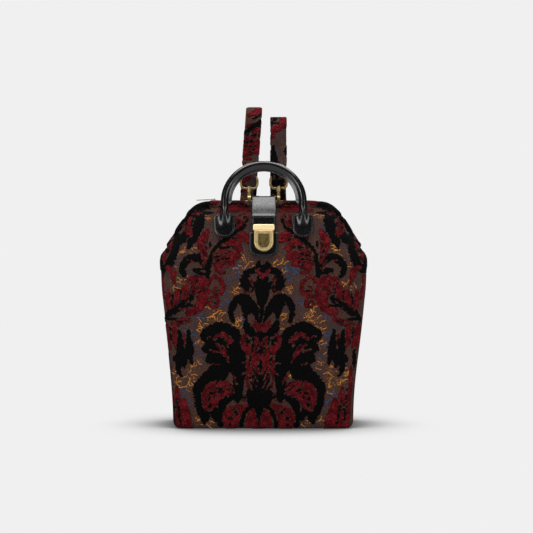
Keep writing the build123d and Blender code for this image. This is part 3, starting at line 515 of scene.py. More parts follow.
def carpet_finish():
    """Woven ground with floats of gold and blue, and cut pile in red and black."""
    material, tree, shader = new_finish("carpet_cloth", Roughness=0.95, Specular_IOR_Level=0.05)
    place = add_node(tree, "ShaderNodeUVMap", uv_map="weave").outputs[0]

    def field(name):
        return add_node(tree, "ShaderNodeAttribute", attribute_name=name).outputs["Fac"]

    def wander(scale, detail, reach):
        centred = calculate(tree, "SUBTRACT", speckle(tree, place, scale, detail), 0.5)
        return calculate(tree, "MULTIPLY", centred, reach)

    def drawn_in(strands, name, pull):
        return calculate(tree, "ADD", strands, calculate(tree, "MULTIPLY", field(name), pull))

    fray = calculate(tree, "ADD", wander(560.0, 3.0, 3.6), wander(190.0, 1.0, 6.5))
    red_depth = calculate(tree, "ADD", field("pile_red"), fray)
    black_depth = calculate(tree, "ADD", field("pile_black"), fray)
    in_red = between(tree, red_depth, -0.25, 0.25)
    in_black = between(tree, black_depth, -0.25, 0.25)

    ribs = add_node(tree, "ShaderNodeTexWave", bands_direction="Y", Scale=230.0, Distortion=2.2)
    ribs.inputs["Detail Scale"].default_value = 3.0
    tree.links.new(place, ribs.inputs["Vector"])
    yarn = speckle(tree, place, 420.0, 3.0, stretch=(1.0, 2.2, 1.0))
    dark_yarn, light_yarn = (0.020, 0.0095, 0.0072), (0.094, 0.046, 0.033)
    ground = blend_colours(tree, between(tree, yarn, 0.30, 0.66), dark_yarn, light_yarn)
    faded = between(tree, speckle(tree, place, 60.0), 0.48, 0.78)
    ground = blend_colours(tree, faded, ground, (0.036, 0.028, 0.031))
    # Painted shade: the ground is darkened in the furrows between the woven ribs, where the rib relief is
    # lowest.
    furrow_shade = between(tree, ribs.outputs["Fac"], 0.0, 0.55, 0.45, 0.0)
    ground = blend_colours(tree, furrow_shade, ground, (0.006, 0.004, 0.004))
    hooks = speckle(tree, place, 190.0, 1.0, stretch=(1.0, 4.0, 1.0), turn=0.75)
    loops = speckle(tree, place, 190.0, 1.0, stretch=(4.0, 1.0, 1.0), turn=0.35)
    strands = calculate(tree, "MAXIMUM", hooks, loops)
    gold = between(tree, drawn_in(strands, "float_gold", 0.12), 0.735, 0.775)
    ground = blend_colours(tree, gold, ground, (0.30, 0.115, 0.020))
    blue_strands = speckle(tree, place, 230.0, 1.0, stretch=(1.0, 3.0, 1.0), turn=-0.5)
    blue = between(tree, drawn_in(blue_strands, "float_blue", 0.13), 0.68, 0.73)
    ground = blend_colours(tree, blue, ground, (0.012, 0.042, 0.095))

    tufts = speckle(tree, place, 760.0, 2.0)
    ridges = speckle(tree, place, 260.0, 2.0, stretch=(1.0, 0.8, 1.0), turn=0.5)
    curls = calculate(tree, "ABSOLUTE", calculate(tree, "SUBTRACT", ridges, 0.5))
    shade = speckle(tree, place, 90.0, 2.0)
    deep_red, bright_red = (0.088, 0.0046, 0.0062), (0.215, 0.0125, 0.0180)
    red = blend_colours(tree, between(tree, shade, 0.35, 0.65), deep_red, bright_red)
    # Painted shade: the red pile is darkened along the low grooves between the curled ridges and in the dips
    # between tufts, where the relief below sinks.
    red = blend_colours(tree, between(tree, curls, 0.0, 0.075, 0.85, 0.0), red, (0.016, 0.0012, 0.0016))
    red = blend_colours(tree, between(tree, tufts, 0.38, 0.60, 0.70, 0.0), red, (0.022, 0.0016, 0.0022))
    # Painted shade: dark lines following the red shapes' outlines inward stand in for the shade in carved
    # grooves of the pile; the relief has no such grooves.
    carved_groove_shade = calculate(tree, "SINE", calculate(tree, "MULTIPLY", red_depth, 1.45))
    red = blend_colours(tree, between(tree, carved_groove_shade, 0.45, 1.0, 0.0, 0.50), red, (0.018, 0.0014, 0.0018))
    # Painted highlight: the black pile is lighter where the tufts stand highest.
    jet, tuft_tip_highlight = (0.0012, 0.0011, 0.0013), (0.0070, 0.0056, 0.0058)
    black = blend_colours(tree, between(tree, tufts, 0.48, 0.72), jet, tuft_tip_highlight)
    colour = blend_colours(tree, in_red, ground, red)
    paint(tree, shader, in_black, colour, black)

    pile = calculate(tree, "MAXIMUM", in_red, in_black)
    tuft_tips = calculate(tree, "MULTIPLY", tufts, 1.2)
    tuft_height = calculate(tree, "ADD", tuft_tips, calculate(tree, "MULTIPLY", curls, 5.0))
    tuft_height = calculate(tree, "MULTIPLY", tuft_height, pile)
    rib_height = calculate(tree, "MULTIPLY", ribs.outputs["Fac"], calculate(tree, "SUBTRACT", 1.0, pile))
    rib_height = calculate(tree, "MULTIPLY", rib_height, 0.35)
    height = calculate(tree, "ADD", calculate(tree, "ADD", tuft_height, rib_height), pile)
    raise_grain(tree, shader, height, 0.0015)
    return material


def flecked_finish(name, roughness, gloss, flecks, spread, dark, light, relief=0.0):
    """A plain finish flecked from dark to light, a little raised; flecks holds their scale and detail."""
    material, tree, shader = new_finish(name, Roughness=roughness, Specular_IOR_Level=gloss)
    fleck = speckle(tree, own_place(tree), *flecks)
    paint(tree, shader, between(tree, fleck, *spread), dark, light)
    if relief:
        raise_grain(tree, shader, fleck, relief)
    return material


carpet = carpet_finish()
LINING_DARK, LINING_LIGHT = (0.010, 0.008, 0.0075), (0.030, 0.025, 0.023)
lining_cloth = flecked_finish(
    "lining_cotton", 0.9, 0.2, (1500.0, 1.0), (0.35, 0.65), LINING_DARK, LINING_LIGHT, 0.0003)


# Front panel: one width of carpet cloth from the base to the frame, turned under at the foot and
# wrapped round both sides to the gusset seams.
FLAT_HALF_WIDTH = 79.0
BODY_LEVELS = np.array((
    # height, half width, half depth at the middle, half depth at the side
    (3.0, 140.0, 72.4, 66.0), (42.75, 141.4, 76.2, 67.3), (130.2, 150.1, 77.0, 56.8),
    (215.0, 161.1, 74.3, 37.0), (268.0, 164.0, 68.0, 23.8),
))
CREST_LEVEL = (330.0, 116.6, 50.0, 23.8)
ROOF_LEVELS = ((342.0, 108.6, 24.6, 23.4), (346.0, 106.0, 21.6, 21.2))
FOOT_ROUND = 6.0
FOOT_HEIGHT = 9.0
FLOOR_GAP = 0.5
LOWEST_CLOTH = 0.4
HINGE_LEVEL = 268.0
SEAM_WRAP = 9.0
SHOULDER_WRAP = 2.5
SHOULDER_NARROWS = (225.0, 262.0)
CLOTH_REACH = 172
CREST_LEAD = 4
LEAST_DROP = 0.05
ROUND_SHARE = 0.98
STEEPEST_SIDE = 0.8
SOFTENING = 4.5
FINE_STEP = 0.5
PANEL_LINING = 2.2
PANEL_WANDER = 0.5
# The pattern's axis leans a little on the front
PATTERN_SHIFT = -0.8
PATTERN_LEAN = 0.029
PATTERN_TOP = 257.5


def spline_through(places, values, at):
    """A natural cubic through a few values."""
    count = len(places)
    gaps = np.diff(places)
    system, right = np.eye(count), np.zeros(count)
    for k in range(1, count - 1):
        system[k, k - 1:k + 2] = gaps[k - 1], 2 * (gaps[k - 1] + gaps[k]), gaps[k]
        right[k] = 6 * ((values[k + 1] - values[k]) / gaps[k] - (values[k] - values[k - 1]) / gaps[k - 1])
    bend = np.linalg.solve(system, right)
    k = np.clip(np.searchsorted(places, at) - 1, 0, count - 2)
    gap, left = gaps[k], at - places[k]
    slope = (values[k + 1] - values[k]) / gap - gap * (2 * bend[k] + bend[k + 1]) / 6
    return values[k] + left * (slope + left * (bend[k] / 2 + left * (bend[k + 1] - bend[k]) / (6 * gap)))


def soften(values, step, soft, reach):
    """Columns of values smoothed along their rows over a length, as far as a number of rows away."""
    kernel = np.exp(-0.5 * (np.arange(-reach, reach + 1) * step / soft) ** 2)
    kernel /= kernel.sum()
    padded = np.pad(values, ((reach, reach), (0, 0)), mode="reflect", reflect_type="odd")
    return np.stack([np.convolve(column, kernel, mode="valid") for column in padded.T], axis=1)


def body_rows():
    """Height, half width, half depth and side depth up the wall, at even steps of cloth."""
    heights = np.arange(FOOT_HEIGHT, HINGE_LEVEL, 1.0)
    lower = [heights] + [spline_through(BODY_LEVELS[:, 0], BODY_LEVELS[:, k], heights) for k in (1, 2, 3)]
    rows = list(np.stack(lower, axis=1))
    turn = np.linspace(0, np.pi / 2, 8)[:-1]
    foot = []
    for angle in turn:
        inset = FOOT_ROUND * (1 - np.sin(angle))
        lift = FLOOR_GAP + (FOOT_HEIGHT - FLOOR_GAP) * (1 - np.cos(angle))
        foot.append((lift, *(rows[0][1:] - inset)))
    rows = np.array(foot + rows + [tuple(BODY_LEVELS[-1]), CREST_LEVEL, *ROOF_LEVELS])
    length = np.concatenate(([0], np.cumsum(np.hypot(np.diff(rows[:, 0]), np.diff(rows[:, 2])))))
    fine = np.arange(0, length[-1], FINE_STEP)
    rows = np.stack([np.interp(fine, length, rows[:, k]) for k in range(4)], axis=1)
    rows = soften(rows, FINE_STEP, SOFTENING, int(4 * SOFTENING))
    rows[:, 0] = np.maximum(rows[:, 0], LOWEST_CLOTH)
    every = int(CLOTH_STEP / FINE_STEP)
    return rows[::every], fine[::every]


def wall_grid(rows, lengths, face):
    """Points of a front (face -1) or back (face 1) wall, and their places on the cloth."""
    columns = int(2 * CLOTH_REACH / CLOTH_STEP)
    share = np.linspace(-1, 1, columns)
    points = np.zeros((len(rows), columns, 3))
    across = np.zeros((len(rows), columns))
    crest = np.argmax(rows[:, 0] > CREST_LEVEL[0] - CREST_LEAD)
    for k, (height, half_width, half_depth, side_depth) in enumerate(rows):
        wrap = SEAM_WRAP - (SEAM_WRAP - SHOULDER_WRAP) * ease(*SHOULDER_NARROWS, height)
        straight = half_width - wrap
        along = np.abs(share) * (straight + wrap * np.pi / 2)
        turned = np.clip((along - straight) / wrap, 0, None)
        place = np.where(along < straight, along, straight + wrap * np.sin(turned))
        drop = max(half_depth - side_depth, LEAST_DROP)
        run = half_width - FLAT_HALF_WIDTH
        radius = (run * run + drop * drop) / (2 * drop)
        past = np.clip(np.minimum(place, straight) - FLAT_HALF_WIDTH, 0, radius * ROUND_SHARE)
        slope = np.clip((straight - FLAT_HALF_WIDTH) / radius, 0, STEEPEST_SIDE)
        slope = slope / np.sqrt(1 - slope * slope)
        back = radius - np.sqrt(radius * radius - past * past)
        back += np.where(along < straight, 0, (place - straight) * slope + wrap * (1 - np.cos(turned)))
        points[k, :, 0] = np.sign(share) * place
        points[k, :, 1] = face * (half_depth - back)
        points[k, :, 2] = height
        across[k] = np.sign(share) * along
    points[:, :, 0] *= -face
    up = np.where(np.arange(len(rows)) < crest, rows[:, 0], rows[crest, 0] + lengths - lengths[crest])
    return points * MM, across * -face, np.repeat(up[:, None], columns, axis=1)


def soft_wander(points, size):
    """Slow hollows and swells that keep a sewn wall from looking drawn."""
    x, z = points[..., 0] / MM, points[..., 2] / MM
    wave = np.sin(x / 31 + 1.3 * np.sin(z / 47)) * np.sin(z / 39 + 0.8) + 0.6 * np.sin(x / 17 + z / 23)
    return surface_normals(points) * (size * MM * wave)[..., None]


rows, row_lengths = body_rows()
front_points, front_across, front_up = wall_grid(rows, row_lengths, -1)
front_points = front_points + soft_wander(front_points, PANEL_WANDER)
front_across = front_across - PATTERN_SHIFT + PATTERN_LEAN * (PATTERN_TOP - front_up)
front_cloth = (front_points, front_across, front_up)
front_panel = pile_cloth("front_panel", *front_cloth, lining=PANEL_LINING)
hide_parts("front_panel_lower", "front_panel_upper")
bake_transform(front_panel)


# Loose floats: gold and blue weft threads that lie on the ground of both panels in short bent strands.
# They are woven in with the cloth, so they bend with it.
FLOAT_PART = 3.4
FLOAT_SIZE = (4.4, 1.05, 0.9)
FLOAT_PARTS = 3
FLOATS_EACH = (3, 2)
FLOAT_CLEAR = -0.9
FLOAT_LIFT = 0.35
FLOAT_SCATTER = 0.7
FLOAT_LEANS = (0.7, 2.5, 0.2)
FLOAT_LEAN_SPREAD = 0.35
FLOAT_BEND = 0.7
FLOAT_SEEDS = (11, 12)
GOLD_PALE, GOLD_DEEP = (0.56, 0.235, 0.040), (0.27, 0.090, 0.014)
BLUE_PALE, BLUE_DEEP = (0.022, 0.085, 0.185), (0.008, 0.028, 0.070)


def repeat_tree(name, block):
    """Node group that sets one small shape on each place, turned along it and stood out from it."""
    tree = bpy.data.node_groups.new(name, "GeometryNodeTree")
    tree.interface.new_socket("Places", in_out="INPUT", socket_type="NodeSocketGeometry")
    for label in ("Length", "Width", "Height"):
        tree.interface.new_socket(label, in_out="INPUT", socket_type="NodeSocketFloat")
    tree.interface.new_socket("Finish", in_out="INPUT", socket_type="NodeSocketMaterial")
    tree.interface.new_socket("Pieces", in_out="OUTPUT", socket_type="NodeSocketGeometry")
    given = add_node(tree, "NodeGroupInput")
    if block:
        shape = add_node(tree, "GeometryNodeMeshCube")
    else:
        shape = add_node(tree, "GeometryNodeMeshUVSphere", Segments=8, Rings=5, Radius=0.5)
    turn = None
    for axis, pivot, field in (("X", "AUTO", "along"), ("Z", "X", "out")):
        align = add_node(tree, "FunctionNodeAlignRotationToVector", axis=axis, pivot_axis=pivot)
        kept = add_node(tree, "GeometryNodeInputNamedAttribute", data_type="FLOAT_VECTOR", Name=field)
        tree.links.new(kept.outputs["Attribute"], align.inputs["Vector"])
        if turn:
            tree.links.new(turn, align.inputs["Rotation"])
        turn = align.outputs[0]
    size = add_node(tree, "ShaderNodeCombineXYZ")
    for label, socket in zip(("Length", "Width", "Height"), size.inputs):
        tree.links.new(given.outputs[label], socket)
    instances = add_node(tree, "GeometryNodeInstanceOnPoints")
    tree.links.new(given.outputs["Places"], instances.inputs["Points"])
    tree.links.new(shape.outputs["Mesh"], instances.inputs["Instance"])
    tree.links.new(turn, instances.inputs["Rotation"])
    tree.links.new(size.outputs[0], instances.inputs["Scale"])
    real = add_node(tree, "GeometryNodeRealizeInstances")
    tree.links.new(instances.outputs[0], real.inputs[0])
    painted = add_node(tree, "GeometryNodeSetMaterial")
    tree.links.new(real.outputs[0], painted.inputs["Geometry"])
    tree.links.new(given.outputs["Finish"], painted.inputs["Material"])
    tree.links.new(painted.outputs[0], add_node(tree, "NodeGroupOutput").inputs[0])
    return tree


def repeat_shape(name, tree, places, along, out, size, finish):
    """One mesh of small equal shapes, one on each place, in millimetres."""
    mesh = bpy.data.meshes.new(name)
    mesh.from_pydata((np.asarray(places) * MM).tolist(), [], [])
    for field, vectors in (("along", along), ("out", out)):
        layer = mesh.attributes.new(field, "FLOAT_VECTOR", "POINT")
        vectors = np.broadcast_to(np.asarray(vectors, dtype=np.float32), (len(places), 3))
        layer.data.foreach_set("vector", vectors.ravel())
    piece = show(name, mesh)
    repeat = piece.modifiers.new("repeat", "NODES")
    repeat.node_group = tree
    values = {"Length": size[0] * MM, "Width": size[1] * MM, "Height": size[2] * MM, "Finish": finish}
    for item in tree.interface.items_tree:
        if item.in_out == "INPUT" and item.name in values:
            repeat[item.identifier] = values[item.name]
    return settle(piece)


def float_finish(name, pale, deep):
    """Soft spun thread with a slight twist."""
    return flecked_finish(name, 0.75, 0.15, (700.0, 2.0), (0.35, 0.65), deep, pale, 0.0002)


def strand_parts(clusters, each, seed):
    """Places on the cloth and directions of the parts of short bent strands, mirrored about the axis."""
    draw = np.random.default_rng(seed)
    places, angles = [], []
    for middle, height, reach in clusters:
        for side in (-1, 1):
            for _ in range(each):
                at = np.array((side * middle, height)) + draw.normal(0, FLOAT_SCATTER * reach, 2)
                angle = draw.choice(FLOAT_LEANS) + draw.normal(0, FLOAT_LEAN_SPREAD)
                for _ in range(FLOAT_PARTS):
                    places.append(at)
                    angles.append(angle)
                    at = at + FLOAT_PART * np.array((np.cos(angle), np.sin(angle)))
                    angle = angle + draw.normal(0, FLOAT_BEND)
    return np.array(places), np.array(angles)


def lay_floats(name, cloth, clusters, each, seed, finish):
    """Strands laid on the bare ground of a panel's cloth."""
    points, across, up = cloth
    places, angles = strand_parts(clusters, each, seed)
    red, black, _, _ = paint_motifs(places[:, 0], places[:, 1])
    bare = (red < FLOAT_CLEAR) & (black < FLOAT_CLEAR)
    places, angles = places[bare], angles[bare]
    nearest = [np.argmin((across.ravel() - u) ** 2 + (up.ravel() - v) ** 2) for u, v in places]
    toward = np.gradient(points, axis=1).reshape(-1, 3)[nearest]
    upward = np.gradient(points, axis=0).reshape(-1, 3)[nearest]
    toward = toward / np.linalg.norm(toward, axis=1, keepdims=True)
    upward = upward / np.linalg.norm(upward, axis=1, keepdims=True)
    toward = toward * np.sign(np.gradient(across, axis=1).ravel()[nearest])[:, None]
    along = toward * np.cos(angles)[:, None] + upward * np.sin(angles)[:, None]
    out = surface_normals(points).reshape(-1, 3)[nearest]
    gaps = places - np.stack((across.ravel()[nearest], up.ravel()[nearest]), axis=1)
    laid = points.reshape(-1, 3)[nearest] / MM + toward * gaps[:, :1] + upward * gaps[:, 1:]
    laid = laid + FLOAT_LIFT * out
    strands = repeat_shape(name, bead_tree, laid, along, out, FLOAT_SIZE, finish)
    return strands


bead_tree = repeat_tree("thread_part", block=False)
gold_thread = float_finish("gold_thread", GOLD_PALE, GOLD_DEEP)
blue_thread = float_finish("blue_thread", BLUE_PALE, BLUE_DEEP)
float_kinds = (
    ("gold", GOLD_CLUSTERS, FLOATS_EACH[0], FLOAT_SEEDS[0], gold_thread),
    ("blue", BLUE_CLUSTERS, FLOATS_EACH[1], FLOAT_SEEDS[1], blue_thread),
)
for colour, *kind in float_kinds:
    strands = lay_floats(f"front_{colour}_floats", front_cloth, *kind)
    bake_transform(strands)


# Back panel: the same cut of carpet cloth behind, with the same loose floats.
# It is sewn to the rear half of the frame and stays with the body.
BACK_INSET = 1.6
back_points, back_across, back_up = wall_grid(rows, row_lengths, 1)
back_normals = surface_normals(back_points)
back_points = back_points + soft_wander(back_points, PANEL_WANDER) - back_normals * BACK_INSET * MM
back_cloth = (back_points, back_across, back_up)
back_panel = pile_cloth("back_panel_cloth", *back_cloth, lining=PANEL_LINING)
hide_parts("back_panel")
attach(back_panel, "root")
for colour, *kind in float_kinds:
    strands = lay_floats(f"back_{colour}_floats", back_cloth, *kind)
    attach(strands, "root")


# Side gussets: a strip of carpet cloth down each side, let in between the front and back panels.
GUSSET_TOP = 262.0
GUSSET_COLUMNS = 64
GUSSET_INSET = 1.0
GUSSET_HOLLOW = 3.0
HOLLOW_GROWS = (90, 240)
GUSSET_SEAM = 3.0
GUSSET_CLOTH_HALF = 66.0
GUSSET_LINING = 2.0
gusset_rows = rows[rows[:, 0] < GUSSET_TOP]
gusset_levels = gusset_rows[:, 0:1]
gusset_share = np.linspace(-1, 1, GUSSET_COLUMNS)
gusset_sink = GUSSET_HOLLOW * ease(*HOLLOW_GROWS, gusset_levels) * (1 - gusset_share**2) ** 2
gusset_up = np.repeat(gusset_levels, GUSSET_COLUMNS, axis=1)
for side, name in ((-1, "left"), (1, "right")):
    gusset_points = np.zeros((len(gusset_rows), GUSSET_COLUMNS, 3))
    gusset_points[:, :, 0] = side * (gusset_rows[:, 1:2] - GUSSET_INSET - gusset_sink)
    gusset_points[:, :, 1] = side * gusset_share * (gusset_rows[:, 3:4] - GUSSET_SEAM)
    gusset_points[:, :, 2] = gusset_levels
    gusset_across = side * (MOTIF_REPEAT + GUSSET_CLOTH_HALF) + gusset_share * GUSSET_CLOTH_HALF
    gusset_across = np.repeat(gusset_across[None], len(gusset_rows), axis=0)
    gusset = pile_cloth(
        f"gusset_{name}_cloth", gusset_points * MM, gusset_across, gusset_up, lining=GUSSET_LINING)
    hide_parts(f"gusset_{name}")
    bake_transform(gusset)


# Base: a strip of the plain woven ground, turned in under the panels, and a stiff board laid on it.
# It is sewn to the foot of the panels all round.
BASE_INSET = 6.4
BASE_LEVEL = 0.5
PLAIN_CLOTH = -400.0
BASE_GRID = (56, 110)
BASE_LINING = 1.6
BOARD_DARK, BOARD_LIGHT = (0.010, 0.010, 0.010), (0.026, 0.025, 0.024)
base_half_width, base_half_depth, base_side_depth = BODY_LEVELS[0, 1:] - BASE_INSET
base_across = np.linspace(-base_half_width, base_half_width, BASE_GRID[1])
past = np.clip((np.abs(base_across) - FLAT_HALF_WIDTH) / (base_half_width - FLAT_HALF_WIDTH), 0, 1)
base_reach = base_half_depth - (base_half_depth - base_side_depth) * past**2
base_share = np.linspace(1, -1, BASE_GRID[0])
base_points = np.zeros((*BASE_GRID, 3))
base_points[:, :, 0] = base_across
base_points[:, :, 1] = base_share[:, None] * base_reach
base_points[:, :, 2] = BASE_LEVEL
base_up = base_points[:, :, 1] + PLAIN_CLOTH
base_cloth = pile_cloth("base_cloth", base_points * MM, base_points[:, :, 0], base_up, lining=BASE_LINING)
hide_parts("base_panel")
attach(base_cloth, "root")


def dress(finish, *nodes):
    """Give a finish to pieces that keep their shape."""
    for node in nodes:
        for place in bpy.data.objects[node].material_slots:
            place.material = finish


fibre_board = flecked_finish(
    "base_board", 0.85, 0.25, (700.0, 4.0), (0.3, 0.7), BOARD_DARK, BOARD_LIGHT, 0.0003)
dress(fibre_board, "base_board")


# Frame: two bent steel tubes, flattened and pinned together at the shoulders so that the mouth swings open.
# The tube is drawn and left bare, with fine lines along it and a little tarnish.
def steel_finish():
    """Drawn steel with faint streaks and cloudy tarnish."""
    material, tree, shader = new_finish("frame_steel", Metallic=1.0, Roughness=0.34)
    place = own_place(tree)
    cloud = speckle(tree, place, 45.0, 4.0)
    streaks = speckle(tree, place, 380.0, 2.0, stretch=(0.15, 1.0, 1.0))
    paint(tree, shader, between(tree, cloud, 0.35, 0.7), (0.24, 0.24, 0.245), (0.13, 0.125, 0.12))
    tree.links.new(between(tree, streaks, 0.3, 0.7, 0.26, 0.46), shader.inputs["Roughness"])
    raise_grain(tree, shader, streaks, 0.00006)
    return material


dress(steel_finish(), "front_frame_tube", "rear_frame_tube", "hinge_pins")


# Casings: sleeves of carpet cloth sewn round the two tubes, a little gathered on the bends.
# The front one moves with the hinged half and the rear one stays.
CASING_RADIUS = 9.0
CASING_TOP = 348.0
CASING_DEPTH = 10.5
CASING_BEND = 30.0
CASING_BEND_PLACE = 88.55
CASING_LEG_DROP_DEG = 56.31
CASING_END = 150.0
CASING_CLOTH = 361.0
CASING_COLUMNS = 35
CASING_SOFT = 2.0
GATHER_DEPTHS = (0.30, 0.28)
GATHER_LENGTHS = (4.7, 11.0, 29)
END_ROWS = (0, 1, 2, 3, 5)
END_CLOSES = (0.25, 0.62, 0.84, 0.95, 1.0)


def swept(path, side, rings):
    """Rings of (side, out) places carried along a path; out is the path's direction crossed with side."""
    along = np.gradient(path, axis=0)
    along = along / np.linalg.norm(along, axis=1, keepdims=True)
    side = np.broadcast_to(np.asarray(side, dtype=float), path.shape)
    side = side - along * np.sum(side * along, axis=1, keepdims=True)
    side = side / np.linalg.norm(side, axis=1, keepdims=True)
    out = np.cross(along, side)
    rings = np.broadcast_to(rings, (len(path), *np.shape(rings)[-2:]))
    return path[:, None] + side[:, None] * rings[..., :1] + out[:, None] * rings[..., 1:]


def even_line(corners, step, soft):
    """A line through corners at even steps, with its corners softened over a length."""
    corners = np.array(corners, dtype=float)
    length = np.concatenate(([0], np.cumsum(np.linalg.norm(np.diff(corners, axis=0), axis=1))))
    at = np.linspace(0, length[-1], int(length[-1] / step) + 1)
    line = np.stack([np.interp(at, length, corners[:, k]) for k in range(3)], axis=1)
    return soften(line, step, soft, int(4 * soft / step) + 1)


def casing_path(depth):
    """Middle line of a casing from the left shoulder over the top to the right one."""
    half = [(0.0, CASING_TOP), (CASING_BEND_PLACE, CASING_TOP)]
    for turn in np.radians(np.linspace(90, 90 - CASING_LEG_DROP_DEG, 16)[1:]):
        half.append((CASING_BEND_PLACE + CASING_BEND * np.cos(turn),
                     CASING_TOP - CASING_BEND + CASING_BEND * np.sin(turn)))
    leg_run = CASING_END - half[-1][0]
    half.append((CASING_END, half[-1][1] - leg_run * np.tan(np.radians(CASING_LEG_DROP_DEG))))
    half = [(x, depth, z) for x, z in half]
    return even_line([(-x, y, z) for x, y, z in half[:0:-1]] + half, CLOTH_STEP, CASING_SOFT)


for name, face, body in (("front", -1, "front_half"), ("rear", 1, "root")):
    path = casing_path(face * CASING_DEPTH)
    round_angle = np.linspace(-np.pi, np.pi, CASING_COLUMNS + 1)[:-1]
    length = (np.arange(len(path)) - (len(path) - 1) / 2) * CLOTH_STEP
    folds = np.sin(length / GATHER_LENGTHS[0] + 1.5 * np.sin(length / GATHER_LENGTHS[2]))[:, None]
    gather = GATHER_DEPTHS[0] * folds * np.cos(round_angle + 0.6)
    swells = np.sin(length / GATHER_LENGTHS[1])[:, None]
    gather = gather + GATHER_DEPTHS[1] * swells * np.sin(2 * round_angle)
    ends = np.minimum(np.arange(len(path)), np.arange(len(path))[::-1])
    close = np.interp(ends, END_ROWS, END_CLOSES)[:, None]
    radius = (CASING_RADIUS + gather) * close
    rings = np.stack((radius * np.cos(round_angle), radius * np.sin(round_angle)), axis=2)
    casing_points = swept(path, (0, face, 0), rings)
    casing_across = np.repeat(length[:, None], len(round_angle), axis=1)
    casing_up = np.repeat(CASING_CLOTH + face * CASING_RADIUS * round_angle[None], len(path), axis=0)
    casing = pile_cloth(f"{name}_casing_cloth", casing_points * MM, casing_across, casing_up, closed=True)
    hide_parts(f"{name}_casing")
    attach(casing, body)


# Zip: black woven tapes along the two tubes, a row of brass teeth on each, a slider and its long pull.
# It is parked undone at its left end. The teeth are clenched on the tape one by one.
TOOTH_PITCH = 2.4
TOOTH_LEVEL = 356.2
TOOTH_PLACE = 1.45
TEETH_LEFT = (-86.0, -68.0)
TEETH_RIGHT = 86.0
TOOTH_END_GAP = 0.8
TOOTH_SIZE = (1.3, 1.9, 2.0)


def tape_finish():
    """Black herringbone tape."""
    material, tree, shader = new_finish("zip_tape", Roughness=0.85, Specular_IOR_Level=0.25)
    place = own_place(tree)
    twill = add_node(tree, "ShaderNodeTexWave", bands_direction="DIAGONAL", Scale=520.0, Distortion=1.0)
    tree.links.new(place, twill.inputs["Vector"])
    threads = speckle(tree, place, 1100.0, 2.0)
    weave = calculate(tree, "MULTIPLY", twill.outputs["Fac"], threads)
    paint(tree, shader, between(tree, weave, 0.1, 0.5), (0.003, 0.003, 0.0032), (0.014, 0.014, 0.015))
    raise_grain(tree, shader, weave, 0.0002)
    return material


def brass_finish(name, bright, dark, low, high, metal=0.92):
    """Antique brass: bright where rubbed, brown where the patina stays."""
    material, tree, shader = new_finish(name, Metallic=metal, Roughness=0.36)
    place = own_place(tree)
    patina = speckle(tree, place, 210.0, 5.0)
    scratches = speckle(tree, place, 900.0, 2.0, stretch=(0.25, 1.0, 1.0), turn=0.4)
    paint(tree, shader, between(tree, patina, low, high), bright, dark)
    tree.links.new(between(tree, scratches, 0.3, 0.7, 0.28, 0.46), shader.inputs["Roughness"])
    raise_grain(tree, shader, scratches, 0.00004)
    return material


tooth_brass = brass_finish("tooth_brass", (0.50, 0.38, 0.20), (0.20, 0.14, 0.07), 0.40, 0.70)
tooth_tree = repeat_tree("zip_tooth", block=True)
dress(tape_finish(), "front_zip_tape", "rear_zip_tape")
zip_rows = (("rear", 1, TEETH_LEFT[0], "root"), ("front", -1, TEETH_LEFT[1], "front_half"))
for name, face, left, body in zip_rows:
    first_tooth = left + TOOTH_END_GAP - face * TOOTH_PITCH / 4 + TOOTH_PITCH / 4
    tooth_places = np.arange(first_tooth, TEETH_RIGHT - TOOTH_END_GAP, TOOTH_PITCH)
    tooth_places = [(x, face * TOOTH_PLACE, TOOTH_LEVEL) for x in tooth_places]
    teeth = repeat_shape(
        f"{name}_teeth", tooth_tree, tooth_places, (1, 0, 0), (0, 0, 1), TOOTH_SIZE, tooth_brass)
    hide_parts(f"{name}_zip_teeth")
    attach(teeth, body)
worn_brass = brass_finish("worn_brass", (0.62, 0.46, 0.22), (0.26, 0.18, 0.08), 0.45, 0.75)
dress(worn_brass, "zip_slider", "zip_pull")


# Lock patch and tuck lock: a shield of black leather sewn to the front under the tab, with a brass lock.
# The lock's bar hangs on the tab, and its button springs out of the case.
WALL_POINT = np.array((0.0, -68.288, 268.084))
WALL_ACROSS = np.array((1.0, 0.0, 0.0))
WALL_UP = np.array((0.0, 0.2788, 0.9603))
WALL_OUT = np.array((0.0, -0.9603, 0.2788))
PATCH_HALF_WIDTH = 23.0
PATCH_FOOT = -1.0
PATCH_TOP = 38.0
PATCH_CORNER = 15.3
PATCH_THICK = 2.5
PATCH_CROWN = 0.2
PATCH_GAP = 0.1
PATCH_EDGE_RISES = np.array((0.0, 0.25, 0.7, 1.3))
PATCH_BEVEL_RISES = np.array((0.0, 0.7, 1.6))
PATCH_BEVEL = (0.7, 1.7)
PATCH_SEAM_INSET = 2.8
PATCH_SEAM_TOP, PATCH_SEAM_BEND = 36.0, 14.0
STITCH_PITCH = 3.1
STITCH_SIZE = (2.3, 0.62, 0.5)
STITCH_SOFT = 0.6
STITCH_LIFT = 0.3
THREAD_DARK, THREAD_LIGHT = (0.030, 0.030, 0.032), (0.115, 0.116, 0.120)


def leather_finish():
    """Black polished hide: fine pebble grain, faint creases and a greyer bloom."""
    material, tree, shader = new_finish("black_leather", Roughness=0.26, Specular_IOR_Level=0.5)
    place = own_place(tree)
    pebbles = add_node(tree, "ShaderNodeTexVoronoi", Scale=1150.0)
    tree.links.new(place, pebbles.inputs["Vector"])
    bloom = speckle(tree, place, 60.0, 4.0)
    creases = speckle(tree, place, 260.0, 3.0, stretch=(1.0, 1.0, 2.5))
    paint(tree, shader, between(tree, bloom, 0.35, 0.75), (0.0010, 0.0010, 0.0011), (0.0030, 0.0030, 0.0032))
    tree.links.new(between(tree, creases, 0.3, 0.7, 0.17, 0.28), shader.inputs["Roughness"])
    grain = calculate(tree, "ADD", pebbles.outputs["Distance"], calculate(tree, "MULTIPLY", creases, 0.8))
    raise_grain(tree, shader, grain, 0.00002)
    return material


